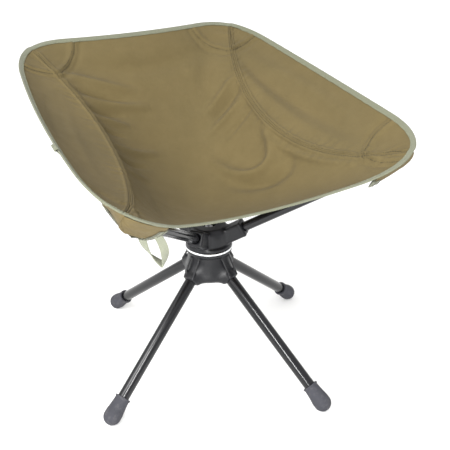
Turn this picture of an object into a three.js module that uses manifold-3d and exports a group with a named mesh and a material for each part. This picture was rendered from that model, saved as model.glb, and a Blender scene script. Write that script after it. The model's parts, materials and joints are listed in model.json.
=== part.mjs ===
// A compact swivel camp seat: four splayed legs plug into a lower hub, four poles plug into an
// upper hub that turns on it, and a fabric sling hangs from the ends of the poles.
// Millimetres, +Z up, the sitter faces -Y. The origin is on the floor under the middle of the
// whole seat's box, so the swivel axis stands a little in front of it.

import * as THREE from 'three';
import { mergeVertices } from 'three/addons/utils/BufferGeometryUtils.js';
import Module from 'manifold-3d';

const wasm = await Module();
wasm.setup();

// ---- driving dimensions ---------------------------------------------------------------------

const SWIVEL_Y = -35; // the swivel axis, measured from the origin
const GAP = 0.3; // between pieces that touch
const SMOOTH = 24; // sides of a round moulding
const TUBE_SIDES = 20;
const CORD_SIDES = 8;
const OVERRUN = 20; // how far a cutting shape runs past what it cuts

// Base: the leg axes meet on the swivel axis and drop to the floor.
const LEG_APEX_Z = 213.6;
const LEG_DROP = THREE.MathUtils.degToRad(39.75);
const LEG_ANGLES = { leg_left: -157.4, leg_front: -67.4, leg_right: 22.6, leg_back: 112.6 };
const LEG_RADIUS = 9.5;
const LEG_WALL = 1.2;
const LEG_START = 38; // along the leg from the apex
const LEG_SOCKET_MOUTH = 61;
const LEG_SOCKET_RADIUS = 13.5;
const LEG_SOCKET_START = 10;
const LEG_COLLAR = [1, 6]; // how far it stands out round the socket's mouth, and its length
const LEG_STOP = 4; // a tube ends this far short of the middle of its foot's ball
const FOOT_BALL_RADIUS = 14.5;
const FOOT_BALL_Z = 13.4; // the sole is worn flat where it meets the floor
const FOOT_LENGTH = 34; // from the open end to the middle of the ball
const FOOT_TOP_RADIUS = 12;
const FOOT_BEAD = [1, 3]; // how far it stands out round the open end, and its height
const PLUG_LENGTH = 10;
const CORD_RADIUS = 1.4;

// Swivel: a bolt, a thin metal ring between the hubs and a bush in the upper hub.
const RING_RADIUS = 40;
const RING_HOLE_RADIUS = 12;
const RING_Z = [223, 226.4];
const HUB_EDGE = 1; // the ring stands out this far round both hubs
const LOWER_HUB_Z = [168, RING_Z[0] - GAP];
const LOWER_FLOOR = 4; // the core's flat underside, above the socket mouths
const LOWER_SKIRT = { radius: 41, height: 10 };
const LOWER_WAIST = { radius: 36, z: 200 };
const LOWER_NECK = { radius: 34, drop: 9 };
const UPPER_HUB_Z = [RING_Z[1] + GAP, 264];
const UPPER_SHOULDER = { radius: 33, height: 9 };
const UPPER_CROWN = { radius: 32, drop: 6 };
const UPPER_TOP_RADIUS = 28;
const HUB_LIP = 5; // the upright band of each hub next to the ring
const BOLT_RADIUS = 4;
const BUSH_RADIUS = 6.2;
const BOLT_SEAT_TOP_Z = 252;
const BOLT_SEAT_BOTTOM_Z = 184;
const WASHER_RADIUS = 10;
const WASHER_THICKNESS = 1.6;
const BOLT_HEAD_RADIUS = 7;
const BOLT_HEAD_HEIGHT = 5;
const NUT_RADIUS = 7.5;
const NUT_HEIGHT = 6.5;
const BOLT_TAIL = 3; // past the nut
const LOWER_RECESS = 3; // clear round a washer
const UPPER_RECESS = 2;

// Poles: each one leaves the upper hub at the root circle and ends in a pocket of the sling.
const ROOT_RADIUS = 35;
const ROOT_Z = 250;
const FRONT_TIP = [217, -196, 407]; // from the swivel axis, on the floor
const BACK_TIP = [191, 268, 491];
const POLE_RADIUS = 8;
const POLE_WALL = 1;
const POLE_INSERTION = 6; // inward from the root circle
const POLE_SOCKET_MOUTH = 30; // outward from the root circle
const POLE_SOCKET_RADIUS = 12.5;
const POLE_SOCKET_SIDES = 8;
const POLE_SOCKET_START = -24;
const POLE_SOCKET_FLARE = 1;
const TIP_HEAD = 8;
const TIP_SPIGOT = 14; // inside the pole
const TIP_RADIUS = POLE_RADIUS + 1;
const TIP_CHAMFER = [2, 1];
const BACK_SPLIT = 0.5; // where the back poles come apart
const FERRULE_LENGTH = 60;

// Sling: the rim's corners before rounding, and how far each edge bows from a straight line.
const FRONT_CORNER = [253, -272, 440];
const BACK_CORNER = [211, 319, 522];
const FRONT_BOW = [0, 94, -78];
const BACK_BOW = [0, -30, 0];
const SIDE_BOW = [19, 27, -5];
const CORNER_ROUND = 0.21; // of an edge's length
const SEAM_BACK_CONTROL = [99, 110, 412];
const SEAM_FRONT_CONTROL = [134, -45, 343];
const BELLY = [0, 10, -56];
const BELLY_TAPER = 1.4; // how gently it leaves the front and back edges
const WING_BELLY = [6, 0, -8];
const CLOTH = 1.2;
const SEAM_GAP = 1.2;
const WING_TRIM = 0.02; // of the seam, left out where a wing runs to a point
const RIM_GAP = 1.8;
const RIM_WIDTH = 2.4;
const RIM_HEIGHT = 4;
const RIM_STEPS = 28; // along each edge
const PANEL_STEPS = [20, 22];
const WING_STEPS = [6, 20];
const POCKET_STEPS = [8, 7];
const POCKET_CLOTH = 0.8;
const POCKET_NOSE = 20; // along the pole, from its end to the pocket's closed end
const POCKET_REACH = 45; // along the pole, from its end to the pocket's mouth
const POCKET_ANCHOR = 0.17; // of the edge's length, from the corner to the mouth
const POCKET_SLACK = 3; // under the pole at the mouth
const POCKET_CLEARANCE = 4.5;
const POCKET_DROP = 3; // below the rim
const POCKET_START = 0.06; // where the closed end is blunt enough to be a solid
const POCKET_CLOSING = 10; // how sharply the closed end turns up to the corner
const TAPE_THICKNESS = 1.6;
const LOOP_TOP = [-183, -184, 362];
const LOOP_BOTTOM = [-164, -182, 315];
const LOOP_HALF_WIDTH = 15;
const LOOP_STRAP = 8;
const LOOP_SHOULDER = 0.9; // widths of its teardrop outline, of the half width
const LOOP_BULGE = 1.2;
const LOOP_CHIN = 0.7;
const TAB_PLACE = 0.67; // along the left edge from the back corner
const TAB_LENGTH = 13;
const TAB_DROP = 7;
const TAB_RISE = 2; // its upper edge, above the rim's middle line
const TAB_GAP = 1; // out from the binding

// ---- colours --------------------------------------------------------------------------------

const material = (color, roughness, metalness = 0) =>
  new THREE.MeshStandardMaterial({ color, roughness, metalness });
const NYLON = material(0x232427, 0.55);
const BLACK_TUBE = material(0x1b1d21, 0.3, 0.9);
const RUBBER = material(0x4a4c52, 0.85);
const STEEL = material(0xc9ccd0, 0.3, 1);
const CORD = material(0x2a2a2c, 0.9);
const ACETAL = material(0xd8d8d2, 0.5);
const CANVAS = material(0x7d6e4b, 0.9);
const TAPE = material(0x97a184, 0.9);

// ---- solids ---------------------------------------------------------------------------------

const vector = ([x, y, z]) => new THREE.Vector3(x, y, z);
const mirrored = ([x, y, z]) => [-x, y, z];

function merged(geometry) {
  const bare = geometry.clone();
  bare.deleteAttribute('normal');
  bare.deleteAttribute('uv');
  return mergeVertices(bare, 1e-4);
}

function toSolid(geometry) {
  const shared = merged(geometry);
  return new wasm.Manifold(new wasm.Mesh({
    numProp: 3,
    vertProperties: new Float32Array(shared.attributes.position.array),
    triVerts: new Uint32Array(shared.index.array),
  }));
}

function toGeometry(solid) {
  const mesh = solid.getMesh();
  const geometry = new THREE.BufferGeometry();
  geometry.setAttribute('position', new THREE.BufferAttribute(mesh.vertProperties, 3));
  geometry.setIndex(new THREE.BufferAttribute(mesh.triVerts, 1));
  return geometry;
}

// A solid of revolution about +Z from [radius, z] points in a closed outline.
function turned(outline, sides = SMOOTH) {
  const closed = outline[0][0] === 0 ? outline : [...outline, outline[0]];
  const points = closed.map(([radius, z]) => new THREE.Vector2(radius, z));
  return new THREE.LatheGeometry(points, sides).rotateX(Math.PI / 2);
}

function rod(radius, start, end, sides = TUBE_SIDES) {
  return turned([[0, start], [radius, start], [radius, end], [0, end]], sides);
}

function tube(radius, wall, start, end) {
  const inner = radius - wall;
  return turned([[inner, start], [radius, start], [radius, end], [inner, end]], TUBE_SIDES);
}

// A block that takes off everything above z, or below it where side is -1.
function slab(z, side) {
  const width = 10 * OVERRUN;
  const height = 2 * OVERRUN;
  return new THREE.BoxGeometry(width, width, height).translate(0, 0, z + (side * height) / 2);
}

function cutFrom(solid, cutters) {
  return toGeometry(cutters.reduce((rest, cutter) => rest.subtract(toSolid(cutter)), solid));
}

// Turns a shape built about +Z to run from origin along direction.
function aimed(geometry, origin, direction) {
  const turn = new THREE.Quaternion().setFromUnitVectors(new THREE.Vector3(0, 0, 1), direction);
  return geometry.applyQuaternion(turn).translate(origin.x, origin.y, origin.z);
}

// A sheet with thickness: rows of [over, under] point pairs, skinned and capped all round.
function sheetFromPairs(rows, closed = false) {
  const width = rows[0].length;
  const positions = rows.flatMap((row) => row.flatMap(([over, under]) => [...over, ...under]));
  const index = (row, column, side) => 2 * ((row % rows.length) * width + column) + side;
  const faces = [];
  const quad = (a, b, c, d) => faces.push(a, b, c, a, c, d);
  const spans = closed ? rows.length : rows.length - 1;
  for (let r = 0; r < spans; r++) {
    for (let c = 0; c < width - 1; c++) {
      quad(index(r, c, 0), index(r, c + 1, 0), index(r + 1, c + 1, 0), index(r + 1, c, 0));
      quad(index(r, c, 1), index(r + 1, c, 1), index(r + 1, c + 1, 1), index(r, c + 1, 1));
    }
    quad(index(r, 0, 0), index(r + 1, 0, 0), index(r + 1, 0, 1), index(r, 0, 1));
    const last = width - 1;
    quad(index(r, last, 0), index(r, last, 1), index(r + 1, last, 1), index(r + 1, last, 0));
  }
  if (!closed) {
    const end = rows.length - 1;
    for (let c = 0; c < width - 1; c++) {
      quad(index(0, c, 0), index(0, c, 1), index(0, c + 1, 1), index(0, c + 1, 0));
      quad(index(end, c, 0), index(end, c + 1, 0), index(end, c + 1, 1), index(end, c, 1));
    }
  }
  return outward(positions, faces);
}

// A closed mesh with its faces turned outward, whichever way they were listed.
function outward(positions, faces) {
  const corner = (i) => new THREE.Vector3().fromArray(positions, 3 * i);
  let volume = 0;
  for (let i = 0; i < faces.length; i += 3) {
    const [a, b, c] = [corner(faces[i]), corner(faces[i + 1]), corner(faces[i + 2])];
    volume += a.dot(b.cross(c));
  }
  if (volume < 0) {
    faces.reverse();
  }
  const geometry = new THREE.BufferGeometry();
  geometry.setAttribute('position', new THREE.Float32BufferAttribute(positions, 3));
  geometry.setIndex(faces);
  return geometry;
}

// A sheet of a thickness, half on each side of the surface point(s, t).
function sheet(point, acrossSteps, alongSteps, thickness = CLOTH) {
  const rows = [];
  const small = 1e-3;
  for (let i = 0; i <= alongSteps; i++) {
    const t = i / alongSteps;
    const row = [];
    for (let j = 0; j <= acrossSteps; j++) {
      const s = j / acrossSteps;
      const here = point(s, t);
      const [s0, s1] = [Math.max(0, s - small), Math.min(1, s + small)];
      const mid = THREE.MathUtils.clamp(t, small, 1 - small);
      const across = point(s1, mid).sub(point(s0, mid));
      const along = point(s, mid + small).sub(point(s, mid - small));
      const normal = across.cross(along).normalize();
      if (normal.z < 0) {
        normal.negate();
      }
      const over = here.clone().addScaledVector(normal, thickness / 2);
      const under = here.clone().addScaledVector(normal, -thickness / 2);
      row.push([over.toArray(), under.toArray()]);
    }
    rows.push(row);
  }
  return sheetFromPairs(rows);
}

// ---- the group ------------------------------------------------------------------------------

const seat = new THREE.Group();
seat.position.y = SWIVEL_Y;

function add(name, geometry, finish) {
  const mesh = new THREE.Mesh(geometry, finish);
  mesh.name = name;
  seat.add(mesh);
}

// ---- base -----------------------------------------------------------------------------------

function legDirection(name) {
  const angle = THREE.MathUtils.degToRad(LEG_ANGLES[name]);
  const level = Math.cos(LEG_DROP);
  return new THREE.Vector3(level * Math.cos(angle), level * Math.sin(angle), -Math.sin(LEG_DROP));
}

const apex = new THREE.Vector3(0, 0, LEG_APEX_Z);
const ballStart = (LEG_APEX_Z - FOOT_BALL_Z) / Math.sin(LEG_DROP);
const tubeEnd = ballStart - LEG_STOP;
const legBore = LEG_RADIUS + GAP;

function lowerHub() {
  const [bottom, top] = LOWER_HUB_Z;
  const floorZ = bottom + LOWER_FLOOR;
  const edge = RING_RADIUS - HUB_EDGE;
  let hub = toSolid(turned([
    [0, floorZ], [LOWER_NECK.radius, floorZ], [LOWER_SKIRT.radius, bottom + LOWER_SKIRT.height],
    [LOWER_WAIST.radius, LOWER_WAIST.z], [LOWER_NECK.radius, top - LOWER_NECK.drop],
    [edge, top - HUB_LIP], [edge, top], [0, top],
  ]));
  const [collar, collarLength] = LEG_COLLAR;
  const collarRadius = LEG_SOCKET_RADIUS + collar;
  const collarStart = LEG_SOCKET_MOUTH - collarLength;
  const names = Object.keys(LEG_ANGLES);
  for (const name of names) {
    const arm = turned([
      [0, LEG_SOCKET_START], [LEG_SOCKET_RADIUS - collar, LEG_SOCKET_START],
      [LEG_SOCKET_RADIUS, collarStart - 2 * collar], [collarRadius, collarStart],
      [collarRadius, LEG_SOCKET_MOUTH], [0, LEG_SOCKET_MOUTH],
    ]);
    hub = hub.add(toSolid(aimed(arm, apex, legDirection(name))));
  }
  for (const name of names) {
    const bore = rod(legBore, LEG_START - GAP, LEG_SOCKET_MOUTH + OVERRUN);
    hub = hub.subtract(toSolid(aimed(bore, apex, legDirection(name))));
  }
  const shank = rod(BOLT_RADIUS + GAP, bottom - OVERRUN, top + OVERRUN);
  const recess = rod(WASHER_RADIUS + LOWER_RECESS, bottom - OVERRUN, BOLT_SEAT_BOTTOM_Z);
  return cutFrom(hub, [shank, recess, slab(top, 1)]);
}

function foot() {
  const start = ballStart - FOOT_LENGTH;
  const outline = [[0, tubeEnd + GAP], [legBore, tubeEnd + GAP], [legBore, start]];
  const [bead, beadHeight] = FOOT_BEAD;
  outline.push([FOOT_TOP_RADIUS + bead, start], [FOOT_TOP_RADIUS + bead, start + beadHeight]);
  outline.push([FOOT_TOP_RADIUS, start + beadHeight + bead]);
  const arcSteps = 6;
  for (let i = 0; i <= arcSteps; i++) {
    const angle = (i / arcSteps) * (Math.PI / 2);
    const radius = i === arcSteps ? 0 : FOOT_BALL_RADIUS * Math.cos(angle);
    outline.push([radius, ballStart + FOOT_BALL_RADIUS * Math.sin(angle)]);
  }
  return turned(outline, TUBE_SIDES);
}

const floorSize = 900;
const floorDepth = 60;
const floor = new THREE.BoxGeometry(floorSize, floorSize, floorDepth);
floor.translate(0, 0, -floorDepth / 2);

add('lower_hub', lowerHub(), NYLON);
for (const name of Object.keys(LEG_ANGLES)) {
  const side = name.replace('leg_', '');
  const along = (shape) => aimed(shape, apex, legDirection(name));
  const plugStart = tubeEnd - PLUG_LENGTH;
  const sole = cutFrom(toSolid(along(foot())), [floor]);
  add(`leg_tube_${side}`, along(tube(LEG_RADIUS, LEG_WALL, LEG_START, tubeEnd)), BLACK_TUBE);
  add(`foot_${side}`, sole, RUBBER);
  add(`leg_plug_${side}`, along(rod(LEG_RADIUS - LEG_WALL - GAP, plugStart, tubeEnd)), NYLON);
  add(`leg_cord_${side}`, along(rod(CORD_RADIUS, LEG_START, plugStart - GAP, CORD_SIDES)), CORD);
}

// ---- swivel ---------------------------------------------------------------------------------

const washerTop = BOLT_SEAT_TOP_Z + GAP;
const headBottom = washerTop + WASHER_THICKNESS + GAP;
const washerBottom = BOLT_SEAT_BOTTOM_Z - GAP - WASHER_THICKNESS;
const nutBottom = washerBottom - GAP - NUT_HEIGHT;
const boltEnd = nutBottom - BOLT_TAIL;
const washerHole = BOLT_RADIUS + GAP;

function ringPlate(inner, outer, bottom, top, sides = SMOOTH) {
  return turned([[inner, bottom], [outer, bottom], [outer, top], [inner, top]], sides);
}

function nut() {
  const body = rod(NUT_RADIUS, nutBottom, nutBottom + NUT_HEIGHT, 6);
  return cutFrom(toSolid(body), [rod(washerHole, boltEnd, boltEnd + OVERRUN)]);
}

add('swivel_ring', ringPlate(RING_HOLE_RADIUS, RING_RADIUS, ...RING_Z, 48), STEEL);
add('swivel_bolt', turned([
  [0, boltEnd], [BOLT_RADIUS, boltEnd], [BOLT_RADIUS, headBottom],
  [BOLT_HEAD_RADIUS, headBottom], [BOLT_HEAD_RADIUS, headBottom + BOLT_HEAD_HEIGHT - 1],
  [BOLT_HEAD_RADIUS - 1, headBottom + BOLT_HEAD_HEIGHT], [0, headBottom + BOLT_HEAD_HEIGHT],
]), STEEL);
add('swivel_nut', nut(), STEEL);
add('washer_top',
  ringPlate(washerHole, WASHER_RADIUS, washerTop, washerTop + WASHER_THICKNESS), STEEL);
add('washer_bottom',
  ringPlate(washerHole, WASHER_RADIUS, washerBottom, washerBottom + WASHER_THICKNESS), STEEL);
add('swivel_bush',
  ringPlate(washerHole, BUSH_RADIUS, UPPER_HUB_Z[0], BOLT_SEAT_TOP_Z - GAP), ACETAL);

// ---- poles ----------------------------------------------------------------------------------

function poleAt(tip) {
  const end = vector(tip);
  const root = new THREE.Vector3(end.x, end.y, 0).setLength(ROOT_RADIUS).setZ(ROOT_Z);
  const length = root.distanceTo(end);
  return { root, length, direction: end.sub(root).normalize() };
}

const POLES = {
  front_left: poleAt(mirrored(FRONT_TIP)),
  front_right: poleAt(FRONT_TIP),
  back_left: poleAt(mirrored(BACK_TIP)),
  back_right: poleAt(BACK_TIP),
};

function upperHub() {
  const [bottom, top] = UPPER_HUB_Z;
  const edge = RING_RADIUS - HUB_EDGE;
  let hub = toSolid(turned([
    [0, bottom], [edge, bottom], [edge, bottom + HUB_LIP],
    [UPPER_SHOULDER.radius, bottom + UPPER_SHOULDER.height],
    [UPPER_CROWN.radius, top - UPPER_CROWN.drop], [UPPER_TOP_RADIUS, top], [0, top],
  ]));
  for (const { root, direction } of Object.values(POLES)) {
    const arm = turned([
      [0, POLE_SOCKET_START], [POLE_SOCKET_RADIUS, POLE_SOCKET_START],
      [POLE_SOCKET_RADIUS + POLE_SOCKET_FLARE, POLE_SOCKET_MOUTH], [0, POLE_SOCKET_MOUTH],
    ], POLE_SOCKET_SIDES);
    hub = hub.add(toSolid(aimed(arm, root, direction)));
  }
  for (const { root, direction } of Object.values(POLES)) {
    const bore = rod(POLE_RADIUS + GAP, -POLE_INSERTION - GAP, POLE_SOCKET_MOUTH + OVERRUN);
    hub = hub.subtract(toSolid(aimed(bore, root, direction)));
  }
  const bushBore = rod(BUSH_RADIUS + GAP, bottom - OVERRUN, top + OVERRUN);
  const recess = rod(WASHER_RADIUS + UPPER_RECESS, BOLT_SEAT_TOP_Z, top + OVERRUN);
  return cutFrom(hub, [bushBore, recess, slab(bottom, -1)]);
}

const poleInside = POLE_RADIUS - POLE_WALL - GAP;

function poleTip(length) {
  const shoulder = length - TIP_HEAD + GAP;
  const spigotStart = length - TIP_HEAD - TIP_SPIGOT;
  const [inset, chamfer] = TIP_CHAMFER;
  return turned([
    [0, spigotStart], [poleInside, spigotStart], [poleInside, shoulder], [TIP_RADIUS, shoulder],
    [TIP_RADIUS, length - TIP_HEAD / 2], [POLE_RADIUS - inset, length - chamfer], [0, length],
  ], TUBE_SIDES);
}

add('upper_hub', upperHub(), NYLON);
for (const [corner, { root, length, direction }] of Object.entries(POLES)) {
  const along = (shape) => aimed(shape, root, direction);
  const end = length - TIP_HEAD;
  const cordEnd = end - TIP_SPIGOT - GAP;
  const section = (start, finish) => along(tube(POLE_RADIUS, POLE_WALL, start, finish));
  if (corner.startsWith('back')) {
    const split = length * BACK_SPLIT;
    const half = FERRULE_LENGTH / 2;
    const ferrule = tube(poleInside, POLE_WALL, split - half, split + half);
    add(`pole_lower_${corner}`, section(-POLE_INSERTION, split - GAP / 2), BLACK_TUBE);
    add(`pole_upper_${corner}`, section(split + GAP / 2, end), BLACK_TUBE);
    add(`pole_ferrule_${corner}`, along(ferrule), STEEL);
  } else {
    add(`pole_${corner}`, section(-POLE_INSERTION, end), BLACK_TUBE);
  }
  add(`pole_tip_${corner}`, along(poleTip(length)), NYLON);
  add(`pole_cord_${corner}`, along(rod(CORD_RADIUS, -POLE_INSERTION, cordEnd, CORD_SIDES)), CORD);
}

// ---- sling ----------------------------------------------------------------------------------

// The rim's four edges, in order round the seat, each from one corner to the next.
const RIM = {
  front: { from: mirrored(FRONT_CORNER), to: FRONT_CORNER, bow: FRONT_BOW },
  right: { from: FRONT_CORNER, to: BACK_CORNER, bow: SIDE_BOW },
  back: { from: BACK_CORNER, to: mirrored(BACK_CORNER), bow: BACK_BOW },
  left: { from: mirrored(BACK_CORNER), to: mirrored(FRONT_CORNER), bow: mirrored(SIDE_BOW) },
};
const RIM_ORDER = Object.keys(RIM);

function bowed({ from, to, bow }, t) {
  return vector(from).lerp(vector(to), t).addScaledVector(vector(bow), 4 * t * (1 - t));
}

function roundedCorner(before, after, s) {
  const curve = new THREE.QuadraticBezierCurve3(
    bowed(before, 1 - CORNER_ROUND), vector(before.to), bowed(after, CORNER_ROUND));
  return curve.getPoint(s);
}

// A point of the rim: t runs from the middle of one rounded corner to the middle of the next.
function rimPoint(name, t) {
  const place = RIM_ORDER.indexOf(name);
  const edge = RIM[name];
  if (t < CORNER_ROUND) {
    const before = RIM[RIM_ORDER[(place + 3) % 4]];
    return roundedCorner(before, edge, 0.5 + (0.5 * t) / CORNER_ROUND);
  }
  if (t > 1 - CORNER_ROUND) {
    const after = RIM[RIM_ORDER[(place + 1) % 4]];
    return roundedCorner(edge, after, (0.5 * (t - 1 + CORNER_ROUND)) / CORNER_ROUND);
  }
  return bowed(edge, t);
}

// The right-hand seam, from the front corner to the back one.
const seamCurve = new THREE.CubicBezierCurve3(
  rimPoint('right', 0), vector(SEAM_FRONT_CONTROL), vector(SEAM_BACK_CONTROL), rimPoint('right', 1));

function onSide(point, side) {
  return side < 0 ? point.setX(-point.x) : point;
}

// The centre panel: u from the left seam to the right one, v from the front edge to the back.
function panelPoint(u, v) {
  const front = rimPoint('front', u);
  const back = rimPoint('back', 1 - u);
  const right = seamCurve.getPoint(v);
  const left = onSide(right.clone(), -1);
  const corners = [
    rimPoint('front', 0), rimPoint('front', 1), rimPoint('back', 1), rimPoint('back', 0),
  ];
  const weights = [(1 - u) * (1 - v), u * (1 - v), (1 - u) * v, u * v];
  const point = front.multiplyScalar(1 - v).addScaledVector(back, v);
  point.addScaledVector(left, 1 - u).addScaledVector(right, u);
  corners.forEach((corner, i) => point.addScaledVector(corner, -weights[i]));
  const sag = 4 * u * (1 - u) * (4 * v * (1 - v)) ** BELLY_TAPER;
  return point.addScaledVector(vector(BELLY), sag);
}

// The right wing: r from the seam to the rim, v from the front corner to the back one.
function wingPoint(r, v) {
  const edge = rimPoint('right', v);
  const point = seamCurve.getPoint(v).lerp(edge, r);
  return point.addScaledVector(vector(WING_BELLY), 4 * r * (1 - r) * 4 * v * (1 - v));
}

// A right-hand pocket hangs under a corner from its two edges and passes below the end of the
// pole: a runs from the corner to the mouth, b from the front or back edge to the side edge.
function pocketPoint(isFront, a, b) {
  const { root, length, direction } = isFront ? POLES.front_right : POLES.back_right;
  const reach = a * POCKET_ANCHOR;
  const lift = new THREE.Vector3(0, 0, POCKET_DROP);
  const onEnd = isFront ? rimPoint('front', 1 - reach) : rimPoint('back', reach);
  const onSideEdge = rimPoint('right', isFront ? reach : 1 - reach);
  onEnd.sub(lift);
  onSideEdge.sub(lift);
  const station = length + POCKET_NOSE - a * (POCKET_NOSE + POCKET_REACH);
  const across = new THREE.Vector3(0, 0, 1).cross(direction).normalize();
  const down = across.clone().cross(direction).normalize();
  const depth = TIP_RADIUS + POCKET_CLEARANCE + POCKET_SLACK * a * a;
  const below = root.clone().addScaledVector(direction, station).addScaledVector(down, depth);
  const closing = 1 - (1 - a) ** POCKET_CLOSING;
  const bottom = rimPoint('right', isFront ? 0 : 1).sub(lift).lerp(below, closing);
  const control = bottom.multiplyScalar(2);
  control.addScaledVector(onEnd, -0.5).addScaledVector(onSideEdge, -0.5);
  return new THREE.QuadraticBezierCurve3(onEnd, control, onSideEdge).getPoint(b);
}

function binding() {
  const rows = [];
  for (const name of RIM_ORDER) {
    for (let i = 0; i < RIM_STEPS; i++) {
      const t = i / RIM_STEPS;
      const here = rimPoint(name, t);
      const ahead = rimPoint(name, t + 0.5 / RIM_STEPS).sub(here).normalize();
      const out = ahead.clone().cross(new THREE.Vector3(0, 0, 1)).normalize();
      const up = out.clone().cross(ahead);
      const pair = (reach) => [1, -1].map((side) => here.clone()
        .addScaledVector(out, reach).addScaledVector(up, (side * RIM_HEIGHT) / 2).toArray());
      rows.push([pair(RIM_GAP), pair(RIM_GAP + RIM_WIDTH)]);
    }
  }
  return sheetFromPairs(rows, true);
}

// A flat strap loop, drawn with its sewn end at the top of a plane and hanging down it.
function pullLoop() {
  const length = vector(LOOP_TOP).distanceTo(vector(LOOP_BOTTOM));
  const drop = (inset) => {
    const half = LOOP_HALF_WIDTH - inset;
    const low = -length + inset;
    const shape = new THREE.Shape();
    const shoulder = half * LOOP_SHOULDER;
    const bulge = half * LOOP_BULGE;
    const chin = half * LOOP_CHIN;
    shape.moveTo(-shoulder, -inset);
    shape.bezierCurveTo(-bulge, low / 2, -chin, low, 0, low);
    shape.bezierCurveTo(chin, low, bulge, low / 2, shoulder, -inset);
    return shape;
  };
  const strap = drop(0);
  strap.holes.push(drop(LOOP_STRAP));
  const depth = { depth: TAPE_THICKNESS, bevelEnabled: false, curveSegments: 10 };
  const geometry = new THREE.ExtrudeGeometry(strap, depth).translate(0, 0, -TAPE_THICKNESS / 2);
  const up = vector(LOOP_TOP).sub(vector(LOOP_BOTTOM)).normalize();
  const level = new THREE.Vector3(LOOP_TOP[1], -LOOP_TOP[0], 0).negate();
  const across = level.addScaledVector(up, -level.dot(up)).normalize();
  const basis = new THREE.Matrix4().makeBasis(across, up, across.clone().cross(up));
  return geometry.applyMatrix4(basis).translate(...LOOP_TOP);
}

// A short length of tape folded over the binding, hanging below the left edge.
function sideTab() {
  const length = bowed(RIM.left, 0).distanceTo(bowed(RIM.left, 1));
  const drop = (s, t) => {
    const place = TAB_PLACE + ((t - 0.5) * TAB_LENGTH) / length;
    const tuck = RIM_GAP + RIM_WIDTH + TAB_GAP + TAPE_THICKNESS / 2;
    return rimPoint('left', place).add(new THREE.Vector3(-tuck, 0, TAB_RISE - s * TAB_DROP));
  };
  return sheet(drop, 2, 3, TAPE_THICKNESS);
}

add('centre_panel', sheet(panelPoint, ...PANEL_STEPS), CANVAS);
for (const [name, side] of [['left', -1], ['right', 1]]) {
  const wing = (s, t) => {
    const v = THREE.MathUtils.lerp(WING_TRIM, 1 - WING_TRIM, t);
    const width = seamCurve.getPoint(v).distanceTo(rimPoint('right', v));
    return onSide(wingPoint(THREE.MathUtils.lerp(SEAM_GAP / width, 1, s), v), side);
  };
  add(`wing_${name}`, sheet(wing, ...WING_STEPS), CANVAS);
  for (const end of ['front', 'back']) {
    const pocket = (s, t) =>
      onSide(pocketPoint(end === 'front', THREE.MathUtils.lerp(POCKET_START, 1, t), s), side);
    add(`pocket_${end}_${name}`, sheet(pocket, ...POCKET_STEPS, POCKET_CLOTH), CANVAS);
  }
}
add('pull_loop', pullLoop(), TAPE);
add('rim_binding', binding(), TAPE);
add('side_tab', sideTab(), TAPE);

export default seat;
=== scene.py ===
"""The looks of a compact swivel camp seat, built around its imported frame.

Lengths here are millimetres measured from the foot of the swivel axis, and become metres in the
row frame when a mesh is made. The sitter faces -Y, and +X is the seat's right side.
"""

import itertools
import json
import math

import bmesh
import bpy
import numpy as np
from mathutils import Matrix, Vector


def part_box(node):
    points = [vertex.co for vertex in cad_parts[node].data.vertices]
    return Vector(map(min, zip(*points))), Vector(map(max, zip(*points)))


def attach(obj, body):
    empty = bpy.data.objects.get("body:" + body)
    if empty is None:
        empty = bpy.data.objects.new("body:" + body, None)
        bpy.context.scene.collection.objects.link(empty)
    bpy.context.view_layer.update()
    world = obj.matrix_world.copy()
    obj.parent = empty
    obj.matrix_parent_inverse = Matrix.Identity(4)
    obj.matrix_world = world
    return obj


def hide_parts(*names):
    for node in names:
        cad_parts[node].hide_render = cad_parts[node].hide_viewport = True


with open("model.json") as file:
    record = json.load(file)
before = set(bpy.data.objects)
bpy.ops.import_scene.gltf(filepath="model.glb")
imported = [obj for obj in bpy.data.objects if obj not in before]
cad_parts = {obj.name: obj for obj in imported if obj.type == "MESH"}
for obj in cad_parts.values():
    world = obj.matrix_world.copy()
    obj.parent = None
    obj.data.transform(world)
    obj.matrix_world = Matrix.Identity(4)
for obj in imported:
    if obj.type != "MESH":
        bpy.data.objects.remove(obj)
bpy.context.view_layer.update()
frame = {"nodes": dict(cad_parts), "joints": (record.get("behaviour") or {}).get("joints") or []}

MM = 0.001
JOINTS = {joint["name"]: joint for joint in frame["joints"]}
SWIVEL = np.array([*JOINTS["seat_swivel"]["pos_m"][:2], 0.0]) / MM
UP = np.array([0.0, 0.0, 1.0])
TIDY_WELD = 1e-6  # metres
CLOTH_WELD = 2e-5  # metres

# ---- driving dimensions ---------------------------------------------------------------------

# Base
LEGS = ("left", "front", "right", "back")
LEG_APEX_Z = 213.6
LEG_RADIUS = 9.5
LEG_WALL = 1.2
LEG_START = 38
LEG_SHORT = 4  # its tube ends this far from the middle of the foot's ball
LEG_SOCKET_MOUTH = 61
LEG_SOCKET_RADIUS = 13.5
FOOT_BALL_RADIUS = 14.5
FOOT_BALL_Z = 13.4
FOOT_LENGTH = 34
FOOT_TOP_RADIUS = 12

# Swivel
RING_RADIUS = 40
RING_HOLE_RADIUS = 12
RING_Z = (223, 226.4)
LOWER_HUB_Z = (168, 222.7)
UPPER_HUB_Z = (226.7, 264)
BOLT_RADIUS = 4
BOLT_HEAD = (7, 5)  # radius and height
BOLT_THREAD_TURNS = 18
NUT_RADIUS = 7.5
BUSH_RADIUS = 6.2
BOLT_SEAT_TOP_Z = 252
BOLT_SEAT_BOTTOM_Z = 184
WASHER_RADIUS = 10
WASHER_THICKNESS = 1.6
WASHER_CHAMFER = 0.3

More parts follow.
